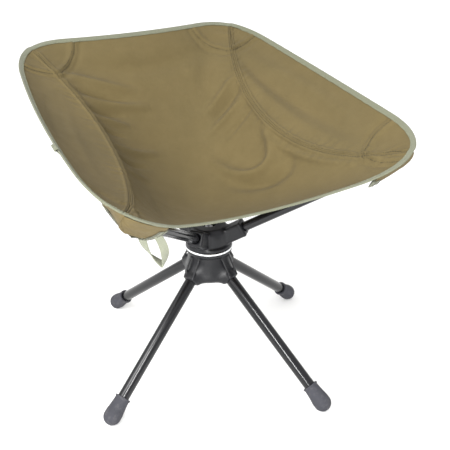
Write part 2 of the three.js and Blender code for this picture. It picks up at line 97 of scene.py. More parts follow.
# Poles
ROOT_RADIUS = 35
ROOT_Z = 250
TIPS = {
    "front_left": (-217, -196, 407),
    "front_right": (217, -196, 407),
    "back_left": (-191, 268, 491),
    "back_right": (191, 268, 491),
}
POLE_RADIUS = 8
POLE_WALL = 1
POLE_JOINT_GAP = 0.3  # between the two sections of a back pole
POLE_INSERTION = 6
POLE_SOCKET_MOUTH = 30
POLE_SOCKET_HALF = 12.5
TIP_HEAD = 8

# Sling
FRONT_CORNER = (253, -272, 440)
BACK_CORNER = (211, 319, 522)
FRONT_BOW = (0, 94, -78)
BACK_BOW = (0, -30, 0)
SIDE_BOW = (19, 27, -5)
CORNER_ROUND = 0.21
SEAM_FRONT_CONTROL = (134, -45, 343)
SEAM_BACK_CONTROL = (99, 110, 412)
BELLY = (0, 10, -56)
BELLY_TAPER = 1.4  # how gently it leaves the front and back edges
WING_BELLY = (6, 0, -8)
CLOTH = 0.8
STITCH_PITCH = 4.2
STITCH_LENGTH = 2.8
THREAD_RADIUS = 0.5
THREAD_SINK = 0.45  # the share of its radius that a stitch is pulled in
SEAM_ROW = 3.2  # each row of stitches, from the seam line
ARC_ROWS = (0.0, 4.6)  # rows of stitches, from the line that a pocket is sewn on along
TAPE_WIDTH = 7.8
TAPE_THICKNESS = 0.5
TAPE_GAP = 1.0  # from the middle of the cloth to the inside of the tape
TAPE_ROW = 1.7  # its row of stitches, from the inner edge
TAPE_NOSE = 1.4  # how far the fold stands off the cloth's edge
EDGE_TRIM = 0.014  # the cloth stops this share of a wing short of the outline
END_TRIM = 0.003
LAP_PLACE = 0.11  # where the tape's ends meet, along the front edge from the left corner
LAP_POINTS = 11
HEM_WIDTH = 10
HEM_NOSE = 4
HEM_GAP = 1.1
HEM_ROWS = (1.6, 8.5)  # rows of stitches, from the mouth's edge
HEM_TRIM = 3  # columns of cloth left bare at each end of a hem
POCKET_NOSE = 20
POCKET_REACH = 45
POCKET_ANCHOR = 0.17
POCKET_SLACK = 3
POCKET_CLEARANCE = 4.5
POCKET_DROP = 3.2
POCKET_TUCK = 2.5  # its sewn edges lie this far in, behind the tape
POCKET_CLOSING = 10
POCKET_LENGTH = 90  # of cloth from the corner to the mouth, for its weave
POCKET_SIDE_SHARE = 0.6  # how far it is sewn along the side, against along the end
LOOP_TOP = (-183, -184, 362)
LOOP_BOTTOM = (-164, -182, 315)
LOOP_HALF_WIDTH = 18
LOOP_ASIDE = 7
LOOP_SWELL = 3
LOOP_STRAP = 12
LOOP_THICKNESS = 1.5
LOOP_RISE = (8, 19)  # its left and right ends start this far up behind the hem
LOOP_LIFT = 8  # it has drawn up this much from its full length
TAB_PLACE = 0.665
TAB_WIDTH = 18
TAB_THICKNESS = 0.9


# ---- meshes ---------------------------------------------------------------------------------

def to_frame(points):
    """Millimetres from the swivel axis become metres in the row frame."""
    return (np.asarray(points, float) + SWIVEL) * MM


def put_in_scene(name, data):
    placed = bpy.data.objects.new(name, data)
    bpy.context.scene.collection.objects.link(placed)
    return placed


def make_piece(name, points, faces, material, body, uv=None, sharp=40):
    """A smooth-shaded mesh that rides on a body. uv has one pair, in metres, for each point."""
    mesh = bpy.data.meshes.new(name)
    mesh.from_pydata(to_frame(points).tolist(), [], [list(f) for f in faces])
    if uv is not None:
        layer = mesh.uv_layers.new(name="cloth")
        corners = np.zeros(len(mesh.loops), np.int32)
        mesh.loops.foreach_get("vertex_index", corners)
        layer.data.foreach_set("uv", np.asarray(uv, np.float32)[corners].ravel())
    mesh.materials.append(material)
    mesh.polygons.foreach_set("use_smooth", [True] * len(mesh.polygons))
    mesh.set_sharp_from_angle(angle=math.radians(sharp))
    piece = put_in_scene(name, mesh)
    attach(piece, body)
    return piece


def applied(piece):
    """The piece with its modifiers turned into mesh."""
    graph = bpy.context.evaluated_depsgraph_get()
    mesh = bpy.data.meshes.new_from_object(piece.evaluated_get(graph), depsgraph=graph)
    piece.modifiers.clear()
    piece.data = mesh
    return piece


def grid_faces(rows, columns, closed_rows=False, closed_columns=False):
    """Quads over a grid of points, numbered row by row, wound to face up."""
    row_spans = rows if closed_rows else rows - 1
    column_spans = columns if closed_columns else columns - 1
    r, c = np.meshgrid(np.arange(row_spans), np.arange(column_spans), indexing="ij")
    r1, c1 = (r + 1) % rows, (c + 1) % columns
    quads = np.stack([r * columns + c, r * columns + c1, r1 * columns + c1, r1 * columns + c], -1)
    return quads.reshape(-1, 4)


def unit(vectors):
    return vectors / np.maximum(np.linalg.norm(vectors, axis=-1, keepdims=True), 1e-9)


def levelled(vector):
    """The level unit vector over or under a vector."""
    return unit(vector * (1, 1, 0))


def frame_of(direction):
    """Two unit vectors square to a direction, the second pointing as far up as it can."""
    side = unit(np.cross(direction, UP))
    return side, np.cross(side, direction)


def turned(outline, origin, direction, sides=64):
    """Points and faces of a solid of revolution: outline is (radius, distance along) pairs,
    from axis to axis, or a closed ring where the last pair repeats the first."""
    direction = unit(np.asarray(direction, float))
    side, lift = frame_of(direction) if abs(direction[2]) < 0.999 else (np.eye(3)[0], np.eye(3)[1])
    angle = np.arange(sides) * 2 * math.pi / sides
    spoke = np.cos(angle)[:, None] * side + np.sin(angle)[:, None] * lift
    ring = outline[0] == outline[-1]
    profile = np.array(outline[:-1] if ring else outline, float)
    points = np.asarray(origin, float) + profile[:, 1, None, None] * direction
    points = points + profile[:, 0, None, None] * spoke
    faces = grid_faces(len(profile), sides, closed_rows=ring, closed_columns=True)
    return points.reshape(-1, 3), faces


def make_turned(node, outline, origin, direction, material, body, sides=64):
    """A solid of revolution in place of a node."""
    points, faces = turned(outline, origin, direction, sides)
    piece = make_piece(f"{node}_fine", points, faces, material, body)
    tidy(piece)
    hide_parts(node)
    return piece


def make_upright(node, outline, material, body, sides):
    """A solid of revolution on the swivel axis, in place of a node."""
    make_turned(node, outline, (0, 0, 0), UP, material, body, sides)


def closed_outline(points):
    return [*points, points[0]]


def tidy(piece):
    """Welds points that coincide and turns the faces outward."""
    shape = bmesh.new()
    shape.from_mesh(piece.data)
    bmesh.ops.remove_doubles(shape, verts=shape.verts, dist=TIDY_WELD)
    bmesh.ops.recalc_face_normals(shape, faces=shape.faces)
    shape.to_mesh(piece.data)
    shape.free()


def sweep(path, width_way, thick_way, profile, closed=False):
    """Points and faces of a closed profile carried along a path. profile is (across, out)."""
    profile = np.asarray(profile, float)
    points = path[:, None] + profile[None, :, :1] * width_way[:, None]
    points = points + profile[None, :, 1:] * thick_way[:, None]
    rows, columns = points.shape[:2]
    faces = grid_faces(rows, columns, closed_rows=closed, closed_columns=True).tolist()
    if not closed:
        faces.append(list(range(columns)))
        faces.append(list(range(rows * columns - 1, (rows - 1) * columns - 1, -1)))
    return points.reshape(-1, 3), faces


def distances(path):
    """How far along a path each of its points is."""
    return np.concatenate([[0], np.cumsum(np.linalg.norm(np.diff(path, axis=0), axis=1))])


def row_distances(points):
    """How far along its own row each point of a grid is."""
    steps = np.linalg.norm(np.diff(points, axis=1), axis=-1)
    return np.concatenate([np.zeros((len(points), 1)), np.cumsum(steps, axis=1)], 1)


def headings(path):
    return unit(np.gradient(path, axis=0))


def square_to(way, vectors):
    """The unit vectors nearest to some vectors that stand square to a way."""
    return unit(vectors - way * (vectors * way).sum(-1, keepdims=True))


def bell(reach):
    """Weights for a value and its neighbours out to reach, that add up to one."""
    weights = np.hanning(2 * reach + 3)[1:-1]
    return weights / weights.sum()


def read_along(along, values, marks):
    """The values of a path's points, read at distances along it."""
    return np.stack([np.interp(marks, along, values[:, k]) for k in range(3)], -1)


def evenly(path, step, closed=False):
    """A path's points again, spaced evenly, with their distances along it."""
    run = np.vstack([path, path[:1]]) if closed else path
    along = distances(run)
    count = max(2, int(round(along[-1] / step)))
    marks = np.linspace(0, along[-1], count + 1)
    if closed:
        marks = marks[:-1]
    return read_along(along, run, marks), marks


# ---- materials ------------------------------------------------------------------------------

class Finish:
    """A procedural material, with short ways to add its nodes."""

    def __init__(self, name, color, roughness, metallic=0.0, specular=0.5):
        self.material = bpy.data.materials.new(name)
        self.material.use_nodes = True
        self.tree = self.material.node_tree
        self.shader = self.tree.nodes["Principled BSDF"]
        self.set("Base Color", (*color, 1))
        self.set("Roughness", roughness)
        self.set("Metallic", metallic)
        self.set("Specular IOR Level", specular)

    def set(self, socket, value):
        self.shader.inputs[socket].default_value = value

    def node(self, kind, **values):
        made = self.tree.nodes.new(kind)
        for key, value in values.items():
            setattr(made, key, value)
        return made

    def link(self, source, target):
        self.tree.links.new(source, target)

    def place(self, uv=False):
        return self.node("ShaderNodeTexCoord").outputs["UV" if uv else "Object"]

    def math(self, operation, a, b=0.0):
        made = self.node("ShaderNodeMath", operation=operation)
        for socket, value in zip(made.inputs, (a, b)):
            if isinstance(value, (int, float)):
                socket.default_value = value
            else:
                self.link(value, socket)
        return made.outputs[0]

    def noise(self, scale, detail=4.0, stretch=(1, 1, 1), uv=False, rough=0.5):
        mapping = self.node("ShaderNodeMapping")
        mapping.inputs["Scale"].default_value = stretch
        self.link(self.place(uv), mapping.inputs["Vector"])
        made = self.node("ShaderNodeTexNoise")
        made.inputs["Scale"].default_value = scale
        made.inputs["Detail"].default_value = detail
        made.inputs["Roughness"].default_value = rough
        self.link(mapping.outputs[0], made.inputs["Vector"])
        return made.outputs["Fac"]

    def ramp(self, value, low, high, start=0.3, end=0.7):
        made = self.node("ShaderNodeMapRange")
        for socket, number in zip(("From Min", "From Max", "To Min", "To Max"), (start, end, low, high)):
            made.inputs[socket].default_value = number
        self.link(value, made.inputs["Value"])
        return made.outputs["Result"]

    def mix(self, factor, first, second):
        """Colour between first and second, each a colour or a socket."""
        made = self.node("ShaderNodeMix", data_type="RGBA")
        if isinstance(factor, float):
            made.inputs[0].default_value = factor
        else:
            self.link(factor, made.inputs[0])
        for socket, value in zip((made.inputs[6], made.inputs[7]), (first, second)):
            if isinstance(value, tuple):
                socket.default_value = (*value, 1)
            else:
                self.link(value, socket)
        return made.outputs[2]

    def bump(self, height, distance, strength=1.0):
        made = self.node("ShaderNodeBump")
        made.inputs["Distance"].default_value = distance
        made.inputs["Strength"].default_value = strength
        self.link(height, made.inputs["Height"])
        self.link(made.outputs[0], self.shader.inputs["Normal"])

    def paint(self, source):
        self.link(source, self.shader.inputs["Base Color"])

    def roughen(self, source):
        self.link(source, self.shader.inputs["Roughness"])


def shaded(color, factor):
    return tuple(channel * factor for channel in color)


def threads(finish, pitch):
    """Height of a plain weave over the cloth's own coordinates, and where each thread is on top."""
    split = finish.node("ShaderNodeSeparateXYZ")
    finish.link(finish.place(uv=True), split.inputs[0])
    waves = []
    for axis in (0, 1):
        turns = finish.math("MULTIPLY", split.outputs[axis], math.pi / (pitch * MM))
        waves.append(finish.math("ABSOLUTE", finish.math("SINE", turns)))
    checker = finish.node("ShaderNodeTexChecker")
    checker.inputs["Scale"].default_value = 1 / (pitch * MM)
    finish.link(finish.place(uv=True), checker.inputs["Vector"])
    over = checker.outputs["Fac"]
    under = finish.math("SUBTRACT", 1.0, over)
    warp = finish.math("MULTIPLY", waves[0], over)
    weft = finish.math("MULTIPLY", waves[1], under)
    return finish.math("ADD", warp, weft), over


def oxford(name, color, warm, pitch=0.9):
    """Coated oxford cloth: a plain weave with slubs, uneven dye, soft sheen, scuffed crests and painted shade
    in the weave's hollows.
    """
    finish = Finish(name, color, 0.82, specular=0.14)
    height, over = threads(finish, pitch)
    slub = finish.noise(900, 3, stretch=(1, 0.12, 1), uv=True)
    dye = finish.noise(7, 5)
    grime = finish.noise(38, 6, rough=0.65)
    tone = finish.mix(finish.ramp(dye, 0.0, 1.0), color, warm)
    tone = finish.mix(finish.ramp(grime, 0.0, 0.35), tone, shaded(color, 0.74))
    tone = finish.mix(finish.ramp(slub, 0.0, 0.30), tone, shaded(warm, 1.22))
    # Painted shade: the low hollows between the threads are darkened in the colour.
    painted_weave_shade = finish.ramp(height, 0.55, 0.0, start=0.0, end=0.6)
    tone = finish.mix(painted_weave_shade, tone, shaded(color, 0.55))
    lift = finish.ramp(over, 0.0, 0.10, start=0.0, end=1.0)
    finish.paint(finish.mix(lift, tone, shaded(warm, 1.25)))
    finish.roughen(finish.ramp(grime, 0.72, 0.9))
    finish.bump(finish.math("ADD", height, finish.math("MULTIPLY", slub, 0.8)), 0.00022, 0.7)
    finish.set("Sheen Weight", 0.04)
    finish.set("Sheen Roughness", 0.45)
    return finish.material


def ribbed(name, color, pitch, slant=1.0):
    """Woven tape in a herringbone: fine ribs that run both ways from the tape's middle line, with painted
    highlight on their crests and painted shade between them.
    """
    finish = Finish(name, color, 0.85, specular=0.25)
    split = finish.node("ShaderNodeSeparateXYZ")
    finish.link(finish.place(uv=True), split.inputs[0])
    bend = finish.math("MULTIPLY", finish.math("ABSOLUTE", split.outputs[0]), slant)
    run = finish.math("ADD", split.outputs[1], bend)
    rib = finish.math("SINE", finish.math("MULTIPLY", run, 2 * math.pi / (pitch * MM)))
    cross = finish.math("SINE", finish.math("MULTIPLY", split.outputs[0], 2 * math.pi / (1.1 * MM)))
    weave = finish.math("ADD", rib, finish.math("MULTIPLY", cross, 0.35))
    fuzz = finish.noise(420, 5, uv=True)
    soil = finish.noise(16, 5)
    # Painted light and shade: the colour is lighter on the rib crests and darker in the hollows, following
    # the bump's height.
    painted_rib_light_and_shade = finish.ramp(weave, 0.0, 1.0, start=-1.0, end=1.0)
    tone = finish.mix(painted_rib_light_and_shade, shaded(color, 0.66), shaded(color, 1.16))
    tone = finish.mix(finish.ramp(soil, 0.0, 0.30), tone, shaded(color, 0.72))
    finish.paint(finish.mix(finish.ramp(fuzz, 0.0, 0.25), tone, shaded(color, 1.25)))
    finish.bump(finish.math("ADD", weave, fuzz), 0.00022, 0.8)
    finish.set("Sheen Weight", 0.15)
    return finish.material


def anodised(name, color):
    """Anodised tube: smooth and dark, with fine drawing lines, dust and rubbed patches."""
    finish = Finish(name, color, 0.2, specular=0.3)
    lines = finish.noise(1500, 2)
    haze = finish.noise(9, 3)
    dust = finish.noise(260, 6, rough=0.7)
    tone = finish.mix(finish.ramp(haze, 0.0, 0.5), color, shaded(color, 1.5))
    finish.paint(finish.mix(finish.ramp(dust, 0.0, 0.05, start=0.55, end=0.8), tone, (0.16, 0.155, 0.15)))
    finish.roughen(finish.ramp(haze, 0.17, 0.23))
    finish.bump(lines, 0.00001, 0.2)
    finish.set("Coat Weight", 0.15)
    finish.set("Coat Roughness", 0.1)
    return finish.material


def moulded(name, color):
    """Moulded nylon: spark-eroded grain, flow marks, and edges rubbed paler."""
    finish = Finish(name, color, 0.46, specular=0.3)
    grain = finish.noise(1900, 3)
    flow = finish.noise(30, 5, stretch=(1, 1, 0.35), rough=0.6)
    edge = finish.node("ShaderNodeNewGeometry").outputs["Pointiness"]
    worn = finish.ramp(edge, 0.0, 0.55, start=0.53, end=0.62)
    worn = finish.math("MULTIPLY", worn, finish.ramp(finish.noise(120, 5), 0.3, 1.0))
    tone = finish.mix(finish.ramp(flow, 0.0, 0.8), color, shaded(color, 1.55))
    finish.paint(finish.mix(worn, tone, (0.15, 0.148, 0.15)))
    finish.roughen(finish.ramp(flow, 0.30, 0.48))
    finish.bump(grain, 0.00012, 0.35)
    return finish.material


def rubbery(name, color):
    """Moulded rubber: matt, with a fine skin texture and scattered paler scuffs."""
    finish = Finish(name, color, 0.78, specular=0.35)
    skin = finish.noise(1400, 4)
    scuff = finish.noise(140, 6, rough=0.7)
    bloom = finish.noise(35, 4)
    tone = finish.mix(finish.ramp(bloom, 0.0, 0.8), color, shaded(color, 1.35))
    finish.paint(finish.mix(finish.ramp(scuff, 0.0, 0.35, start=0.5, end=0.75), tone, (0.17, 0.165, 0.16)))
    finish.roughen(finish.ramp(scuff, 0.68, 0.9))
    finish.bump(finish.math("ADD", skin, scuff), 0.00018, 0.45)
    return finish.material


def plated(name, color, roughness=0.2):
    """Plated steel: bright, with fine turning marks and a few dull spots."""
    finish = Finish(name, color, roughness, metallic=1.0)
    spots = finish.noise(180, 6, rough=0.7)
    turning = finish.noise(2600, 2, stretch=(1, 1, 6))
    finish.paint(finish.mix(finish.ramp(spots, 0.0, 0.5, start=0.5, end=0.8), color, shaded(color, 0.72)))
    finish.roughen(finish.ramp(spots, roughness, roughness + 0.18))
    finish.bump(turning, 0.00002, 0.3)
    return finish.material


def braided(name, color):
    """Elastic cord with a braided cover."""
    finish = Finish(name, color, 0.85)
    braid = finish.noise(800, 2, stretch=(1, 1, 0.5))
    finish.paint(finish.mix(finish.ramp(braid, 0.0, 1.0), color, shaded(color, 2.2)))
    finish.bump(braid, 0.0004, 0.6)
    return finish.material


CANVAS_COLOR = (0.114, 0.089, 0.040)
CANVAS_WARM = (0.142, 0.107, 0.045)
SAGE = (0.172, 0.178, 0.120)

canvas = oxford("canvas", CANVAS_COLOR, CANVAS_WARM)
binding_tape = ribbed("binding_tape", SAGE, 1.7)
loop_webbing = ribbed("loop_webbing", (0.25, 0.262, 0.195), 2.1)
# The seam thread's near-black colour is partly painted shade: besides the thread, it stands in for the shade
# of the stitch holes and seam grooves.
thread = braided("thread", (0.016, 0.014, 0.008))
tape_thread = braided("tape_thread", (0.13, 0.138, 0.092))
tube_black = anodised("tube_black", (0.004, 0.0041, 0.0052))
nylon = moulded("nylon", (0.005, 0.0052, 0.0064))
rubber = rubbery("rubber", (0.034, 0.0345, 0.042))
ring_plate = plated("ring_plate", (0.86, 0.87, 0.88))
hardware = plated("hardware", (0.52, 0.53, 0.55), 0.3)
acetal = moulded("acetal", (0.62, 0.61, 0.57))
elastic = braided("elastic", (0.03, 0.03, 0.032))


# ---- camera, floor and lights ---------------------------------------------------------------

CAMERA_PLACE = (-516.7, -1029.3, 849.7)  # from the swivel axis
CAMERA_HEADING = 28.0  # degrees from +Y towards +X
CAMERA_TILT = 27.08  # degrees below level
CAMERA_LENS = 62.16
SKY_WAY = (0.85, 0.1, -1.0)  # the way its light travels
SKY_POWER = 1.4
SKY_SPREAD = 70
AMBIENT = 1.0
FLOOR_HALF = 6.0  # metres
FLOOR_TONES = ((0.93, 0.93, 0.925), (0.95, 0.95, 0.945))

# Where each lamp stands, where it aims, its two sides, in metres, and its power in watts.
LAMPS = {
    "key_light": ((-1.7, -0.6, 1.9), (0, 0, 0.35), (1.0, 0.8), 27),
    "strip_light": ((-0.75, -1.35, 0.9), (0, 0, 0.12), (0.12, 0.9), 26),
}


def look_along(placed, way):
    placed.rotation_mode = "QUATERNION"
    placed.rotation_quaternion = Vector(way).to_track_quat("-Z", "Y")


def make_camera():
    data = bpy.data.cameras.new("camera")
    data.lens = CAMERA_LENS
    data.sensor_width = 36
    data.clip_start = 0.05
    camera = put_in_scene("camera", data)
    heading, tilt = math.radians(CAMERA_HEADING), math.radians(CAMERA_TILT)
    level = math.cos(tilt)
    look_along(camera, (level * math.sin(heading), level * math.cos(heading), -math.sin(tilt)))
    camera.location = to_frame(CAMERA_PLACE)
    bpy.context.scene.camera = camera


def make_floor():
    finish = Finish("studio_floor", FLOOR_TONES[0], 0.75, specular=0.1)
    finish.paint(finish.mix(finish.ramp(finish.noise(14, 4), 0.0, 1.0), *FLOOR_TONES))
    mesh = bpy.data.meshes.new("studio_floor")
    half = FLOOR_HALF
    corners = [(-half, -half, 0), (half, -half, 0), (half, half, 0), (-half, half, 0)]
    mesh.from_pydata(corners, [], [(0, 1, 2, 3)])
    mesh.materials.append(finish.material)
    put_in_scene("studio_floor", mesh)


def make_lamp(name, place, aim, size, power):
    data = bpy.data.lights.new(name, "AREA")
    data.shape = "RECTANGLE"
    data.size, data.size_y = size
    data.energy = power
    lamp = put_in_scene(name, data)
    lamp.location = place
    look_along(lamp, Vector(aim) - Vector(place))


def make_sky():
    data = bpy.data.lights.new("sky_light", "SUN")
    data.energy = SKY_POWER
    data.angle = math.radians(SKY_SPREAD)
    look_along(put_in_scene("sky_light", data), SKY_WAY)
    world = bpy.data.worlds.new("studio")
    world.use_nodes = True
    background = world.node_tree.nodes["Background"]
    background.inputs["Color"].default_value = (1, 1, 1, 1)
    background.inputs["Strength"].default_value = AMBIENT
    bpy.context.scene.world = world
    bpy.context.scene.view_settings.view_transform = "Standard"


def make_studio():
    make_camera()
    make_floor()
    for name, settings in LAMPS.items():
        make_lamp(name, *settings)
    make_sky()


make_studio()


# ---- base -----------------------------------------------------------------------------------

APEX = np.array([0.0, 0.0, LEG_APEX_Z])


def leg_direction(name):
    return unit(np.array(JOINTS[f"leg_{name}_pull"]["axis"], float))


LEG_LENGTH = (LEG_APEX_Z - FOOT_BALL_Z) / -leg_direction("front")[2]
LEG_END = LEG_LENGTH - LEG_SHORT


def rounded_end(radius, along, sign, size=0.6, steps=4):
    """Outline points of an edge rounded from a tube's side to its end face."""
    angles = np.linspace(0, math.pi / 2, steps + 1)
    return [(radius - size * (1 - math.cos(a)), along - sign * size * (1 - math.sin(a))) for a in angles]


def tube_outline(radius, wall, start, end):
    inner = radius - wall
    first = rounded_end(radius, start, -1)[::-1]
    last = rounded_end(radius, end, 1)
    return closed_outline([(inner, start), *first, *last, (inner, end)])


def foot_outline():
    """A tapered cup: a rim bead at its open end, a straight taper and a round sole."""
    start = LEG_LENGTH - FOOT_LENGTH
    bore = LEG_RADIUS + 0.1
    bead = FOOT_TOP_RADIUS + 1
    points = [(0, LEG_END + 0.3), (bore, LEG_END + 0.3), (bore, start + 0.4), (bore + 0.5, start)]
    points += [(bead - 0.8, start), (bead - 0.2, start + 0.3), (bead, start + 1), (bead, start + 2.4)]
    points += [(bead - 0.3, start + 3.1), (FOOT_TOP_RADIUS, start + 3.6), (FOOT_TOP_RADIUS, start + 5)]
    taper = LEG_LENGTH - 6
    for share in np.linspace(0, 1, 8):
        swell = (FOOT_BALL_RADIUS - FOOT_TOP_RADIUS) * share ** 1.3
        points.append((FOOT_TOP_RADIUS + swell * 0.96, start + 6 + share * (taper - start - 6)))
    for angle in np.linspace(0, math.pi / 2, 14)[1:]:
        along = LEG_LENGTH + FOOT_BALL_RADIUS * math.sin(angle)
        points.append((FOOT_BALL_RADIUS * max(0.0, math.cos(angle)), along))
    points[-1] = (0, points[-1][1])
    return points


def flatten_sole(piece):
    """Presses the points of a foot that would be under the floor up to it."""
    for vertex in piece.data.vertices:
        vertex.co.z = max(vertex.co.z, 0.0)


def make_legs():
    for name in LEGS:
        way = leg_direction(name)
        body = f"leg_{name}"
        outline = tube_outline(LEG_RADIUS, LEG_WALL, LEG_START, LEG_END)
        make_turned(f"leg_tube_{name}", outline, APEX, way, tube_black, body)
        foot = make_turned(f"foot_{name}", foot_outline(), APEX, way, rubber, body, 72)
        flatten_sole(foot)


make_legs()


# ---- moulded hubs and turned hardware -------------------------------------------------------

HUB_STEP = 1.0  # between the lattice points that a moulding's skin is drawn through
HUB_MARGIN = 4.0
BORE_GAP = 0.3  # round whatever a hub holds
WEB_REACH = 58  # down the legs, to the ends of the walls between the lower hub's sockets
WEB_RADIUS = 5.0
HOLLOW_REACH, HOLLOW_Z, HOLLOW_RADIUS = 74, 168, 33  # the round hollow under each wall
RIB_RADIUS = 1.7
SCOOP_REACH, SCOOP_RISE, SCOOP_RADIUS = 62, 2, 32  # between the upper hub's sockets
POLE_LIP = 1.2
UNDER_RIB_RADIUS = 1.5


def polygon_distance(x, y, outline):
    """Signed distance from (x, y) to a closed outline, negative inside."""
    corners = np.array(outline, float)
    nearest = np.full(x.shape, np.inf)
    inside = np.zeros(x.shape, bool)
    for (x0, y0), (x1, y1) in zip(corners, np.roll(corners, -1, axis=0)):
        edge = np.array([x1 - x0, y1 - y0])
        share = np.clip(((x - x0) * edge[0] + (y - y0) * edge[1]) / (edge @ edge), 0, 1)
        nearest = np.minimum(nearest, np.hypot(x - x0 - share * edge[0], y - y0 - share * edge[1]))
        if y0 != y1:
            crossing = x0 + (y - y0) / (y1 - y0) * edge[0]
            inside ^= ((y0 > y) != (y1 > y)) & (x < crossing)
    return np.where(inside, -nearest, nearest)


def box_distance(offsets, rounding=0.0):
    """Distance to a box from how far a point is outside each pair of its faces."""
    outside = [offset + rounding for offset in offsets]
    far = np.sqrt(sum(np.maximum(offset, 0) ** 2 for offset in outside))
    return far + np.minimum(np.maximum.reduce(outside), 0) - rounding


def along_and_off(points, origin, way):
    along = (points - origin) @ way
    off = np.linalg.norm(points - origin - along[..., None] * way, axis=-1)
    return along, off


def rod_distance(points, origin, way, radius, start, end, rounding=0.0):
    along, off = along_and_off(points, origin, way)
    return box_distance([off - radius, np.abs(along - (start + end) / 2) - (end - start) / 2], rounding)


def bar_distance(points, origin, way, half, start, end, rounding=0.0):
    """A square bar along way, with one pair of faces upright."""
    side, lift = frame_of(way)
    local = points - origin
    ends = np.abs(local @ way - (start + end) / 2) - (end - start) / 2
    return box_distance([np.abs(local @ side) - half, np.abs(local @ lift) - half, ends], rounding)


def capsule_distance(points, start, end, radius):
    run = end - start
    share = np.clip((points - start) @ run / (run @ run), 0, 1)
    return np.linalg.norm(points - start - share[..., None] * run, axis=-1) - radius


def ball_distance(points, middle, radius):
    return np.linalg.norm(points - middle, axis=-1) - radius


def turned_distance(points, outline):
    return polygon_distance(np.hypot(points[..., 0], points[..., 1]), points[..., 2], outline)


def upright_bore(points, radius, low, high):
    """A hole on the swivel axis."""
    return turned_distance(points, [(0, low), (0, high), (radius, high), (radius, low)])


def joined(first, second, fillet):
    """The two solids together, with a fillet where they meet."""
    share = np.clip(0.5 + 0.5 * (second - first) / fillet, 0, 1)
    return second + (first - second) * share - fillet * share * (1 - share)


def cut(solid, hole, fillet=0.01):
    return -joined(-solid, hole, fillet)


def lattice(low, high):
    axes = [np.arange(a, b + HUB_STEP, HUB_STEP) for a, b in zip(low, high)]
    return np.stack(np.meshgrid(*axes, indexing="ij"), -1)


def skin(field, low):
    """Surface nets: points and quads where a sampled field crosses from inside to outside."""
    spans = tuple(n - 1 for n in field.shape)
    total, count = np.zeros((*spans, 3)), np.zeros(spans)
    for axis in range(3):
        for start in itertools.product((0, 1), repeat=3):
            if start[axis]:
                continue
            end = tuple(s + (k == axis) for k, s in enumerate(start))
            first = field[tuple(slice(s, s + n) for s, n in zip(start, spans))]
            last = field[tuple(slice(s, s + n) for s, n in zip(end, spans))]
            crosses = (first < 0) != (last < 0)
            share = np.where(crosses, first / np.where(crosses, first - last, 1), 0)
            place = np.array(start, float) + share[..., None] * np.eye(3)[axis]
            total += np.where(crosses[..., None], place, 0)
            count += crosses
    used = count > 0
    number = np.full(spans, -1)
    number[used] = np.arange(used.sum())
    points = low + HUB_STEP * (np.argwhere(used) + total[used] / count[used][:, None])
    faces = []
    for axis in range(3):
        one, two = [k for k in range(3) if k != axis]
        first = np.take(field, range(0, field.shape[axis] - 1), axis)
        last = np.take(field, range(1, field.shape[axis]), axis)
        for place in np.argwhere((first < 0) != (last < 0)):
            around = []
            for shift in ((0, 0), (1, 0), (1, 1), (0, 1)):
                cell = place.copy()
                cell[one] -= shift[0]
                cell[two] -= shift[1]
                around.append(number[tuple(cell)])
            faces.append(around)
    return points, faces


def make_moulding(node, shape, body):
    low, high = (np.array(corner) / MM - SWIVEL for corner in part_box(node))
    low = low - HUB_MARGIN
    points, faces = skin(shape(lattice(low, high + HUB_MARGIN)), low)
    piece = make_piece(f"{node}_fine", points, faces, nylon, body, sharp=180)
    tidy(piece)
    relax = piece.modifiers.new("relax", "SMOOTH")
    relax.factor, relax.iterations = 0.5, 2
    applied(piece)
    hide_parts(node)


def lower_hub_field(points):
    """A flared core with four splayed sockets, walls between them and a rib on each shoulder."""
    bottom, top = LOWER_HUB_Z
    outline = [
        (0, bottom + 4), (34, bottom + 4), (41, bottom + 9), (39, 190), (36, 202), (34, top - 9),
        (RING_RADIUS - 1, top - 5), (RING_RADIUS - 1, top + 5), (0, top + 5),
    ]
    hub = turned_distance(points, outline)
    ways = [leg_direction(name) for name in LEGS]
    for way in ways:
        arm = rod_distance(points, APEX, way, LEG_SOCKET_RADIUS, 10, LEG_SOCKET_MOUTH, rounding=0.8)
        hub = joined(hub, arm, fillet=10)
    for way, following in zip(ways, ways[1:] + ways[:1]):
        wall = capsule_distance(points, APEX + way * WEB_REACH, APEX + following * WEB_REACH, WEB_RADIUS)
        hub = joined(hub, wall, fillet=12)
        middle = levelled(way + following)
        hollow = ball_distance(points, middle * HOLLOW_REACH + UP * HOLLOW_Z, HOLLOW_RADIUS)
        hub = cut(hub, hollow, fillet=2.0)
    for way in ways:
        mouth = LEG_SOCKET_MOUTH
        lip = rod_distance(points, APEX, way, LEG_SOCKET_RADIUS + 1, mouth, mouth, rounding=0.8)
        hub = joined(hub, lip, fillet=1.2)
        side, lift = frame_of(way)
        level = levelled(way)
        for hand in (-1, 1):
            high = level * 35 + UP * (top - 8) + side * 9 * hand
            low = APEX + way * 60 + lift * 10.5 + side * 8.5 * hand
            hub = joined(hub, capsule_distance(points, high, low, RIB_RADIUS), fillet=2.5)
    for way in ways:
        bore = rod_distance(points, APEX, way, LEG_RADIUS + BORE_GAP, LEG_START - BORE_GAP, 90)
        hub = cut(hub, bore, fillet=0.6)
    seat, open_end = BOLT_SEAT_BOTTOM_Z, bottom - 18
    inside = [(0, open_end), (27, open_end), (24, seat - 4), (15, seat), (0, seat)]
    hub = cut(hub, turned_distance(points, inside), fillet=2.0)
    hub = cut(hub, upright_bore(points, BOLT_RADIUS + BORE_GAP, open_end, top + 27))
    return cut(hub, top - points[..., 2], fillet=0.8)


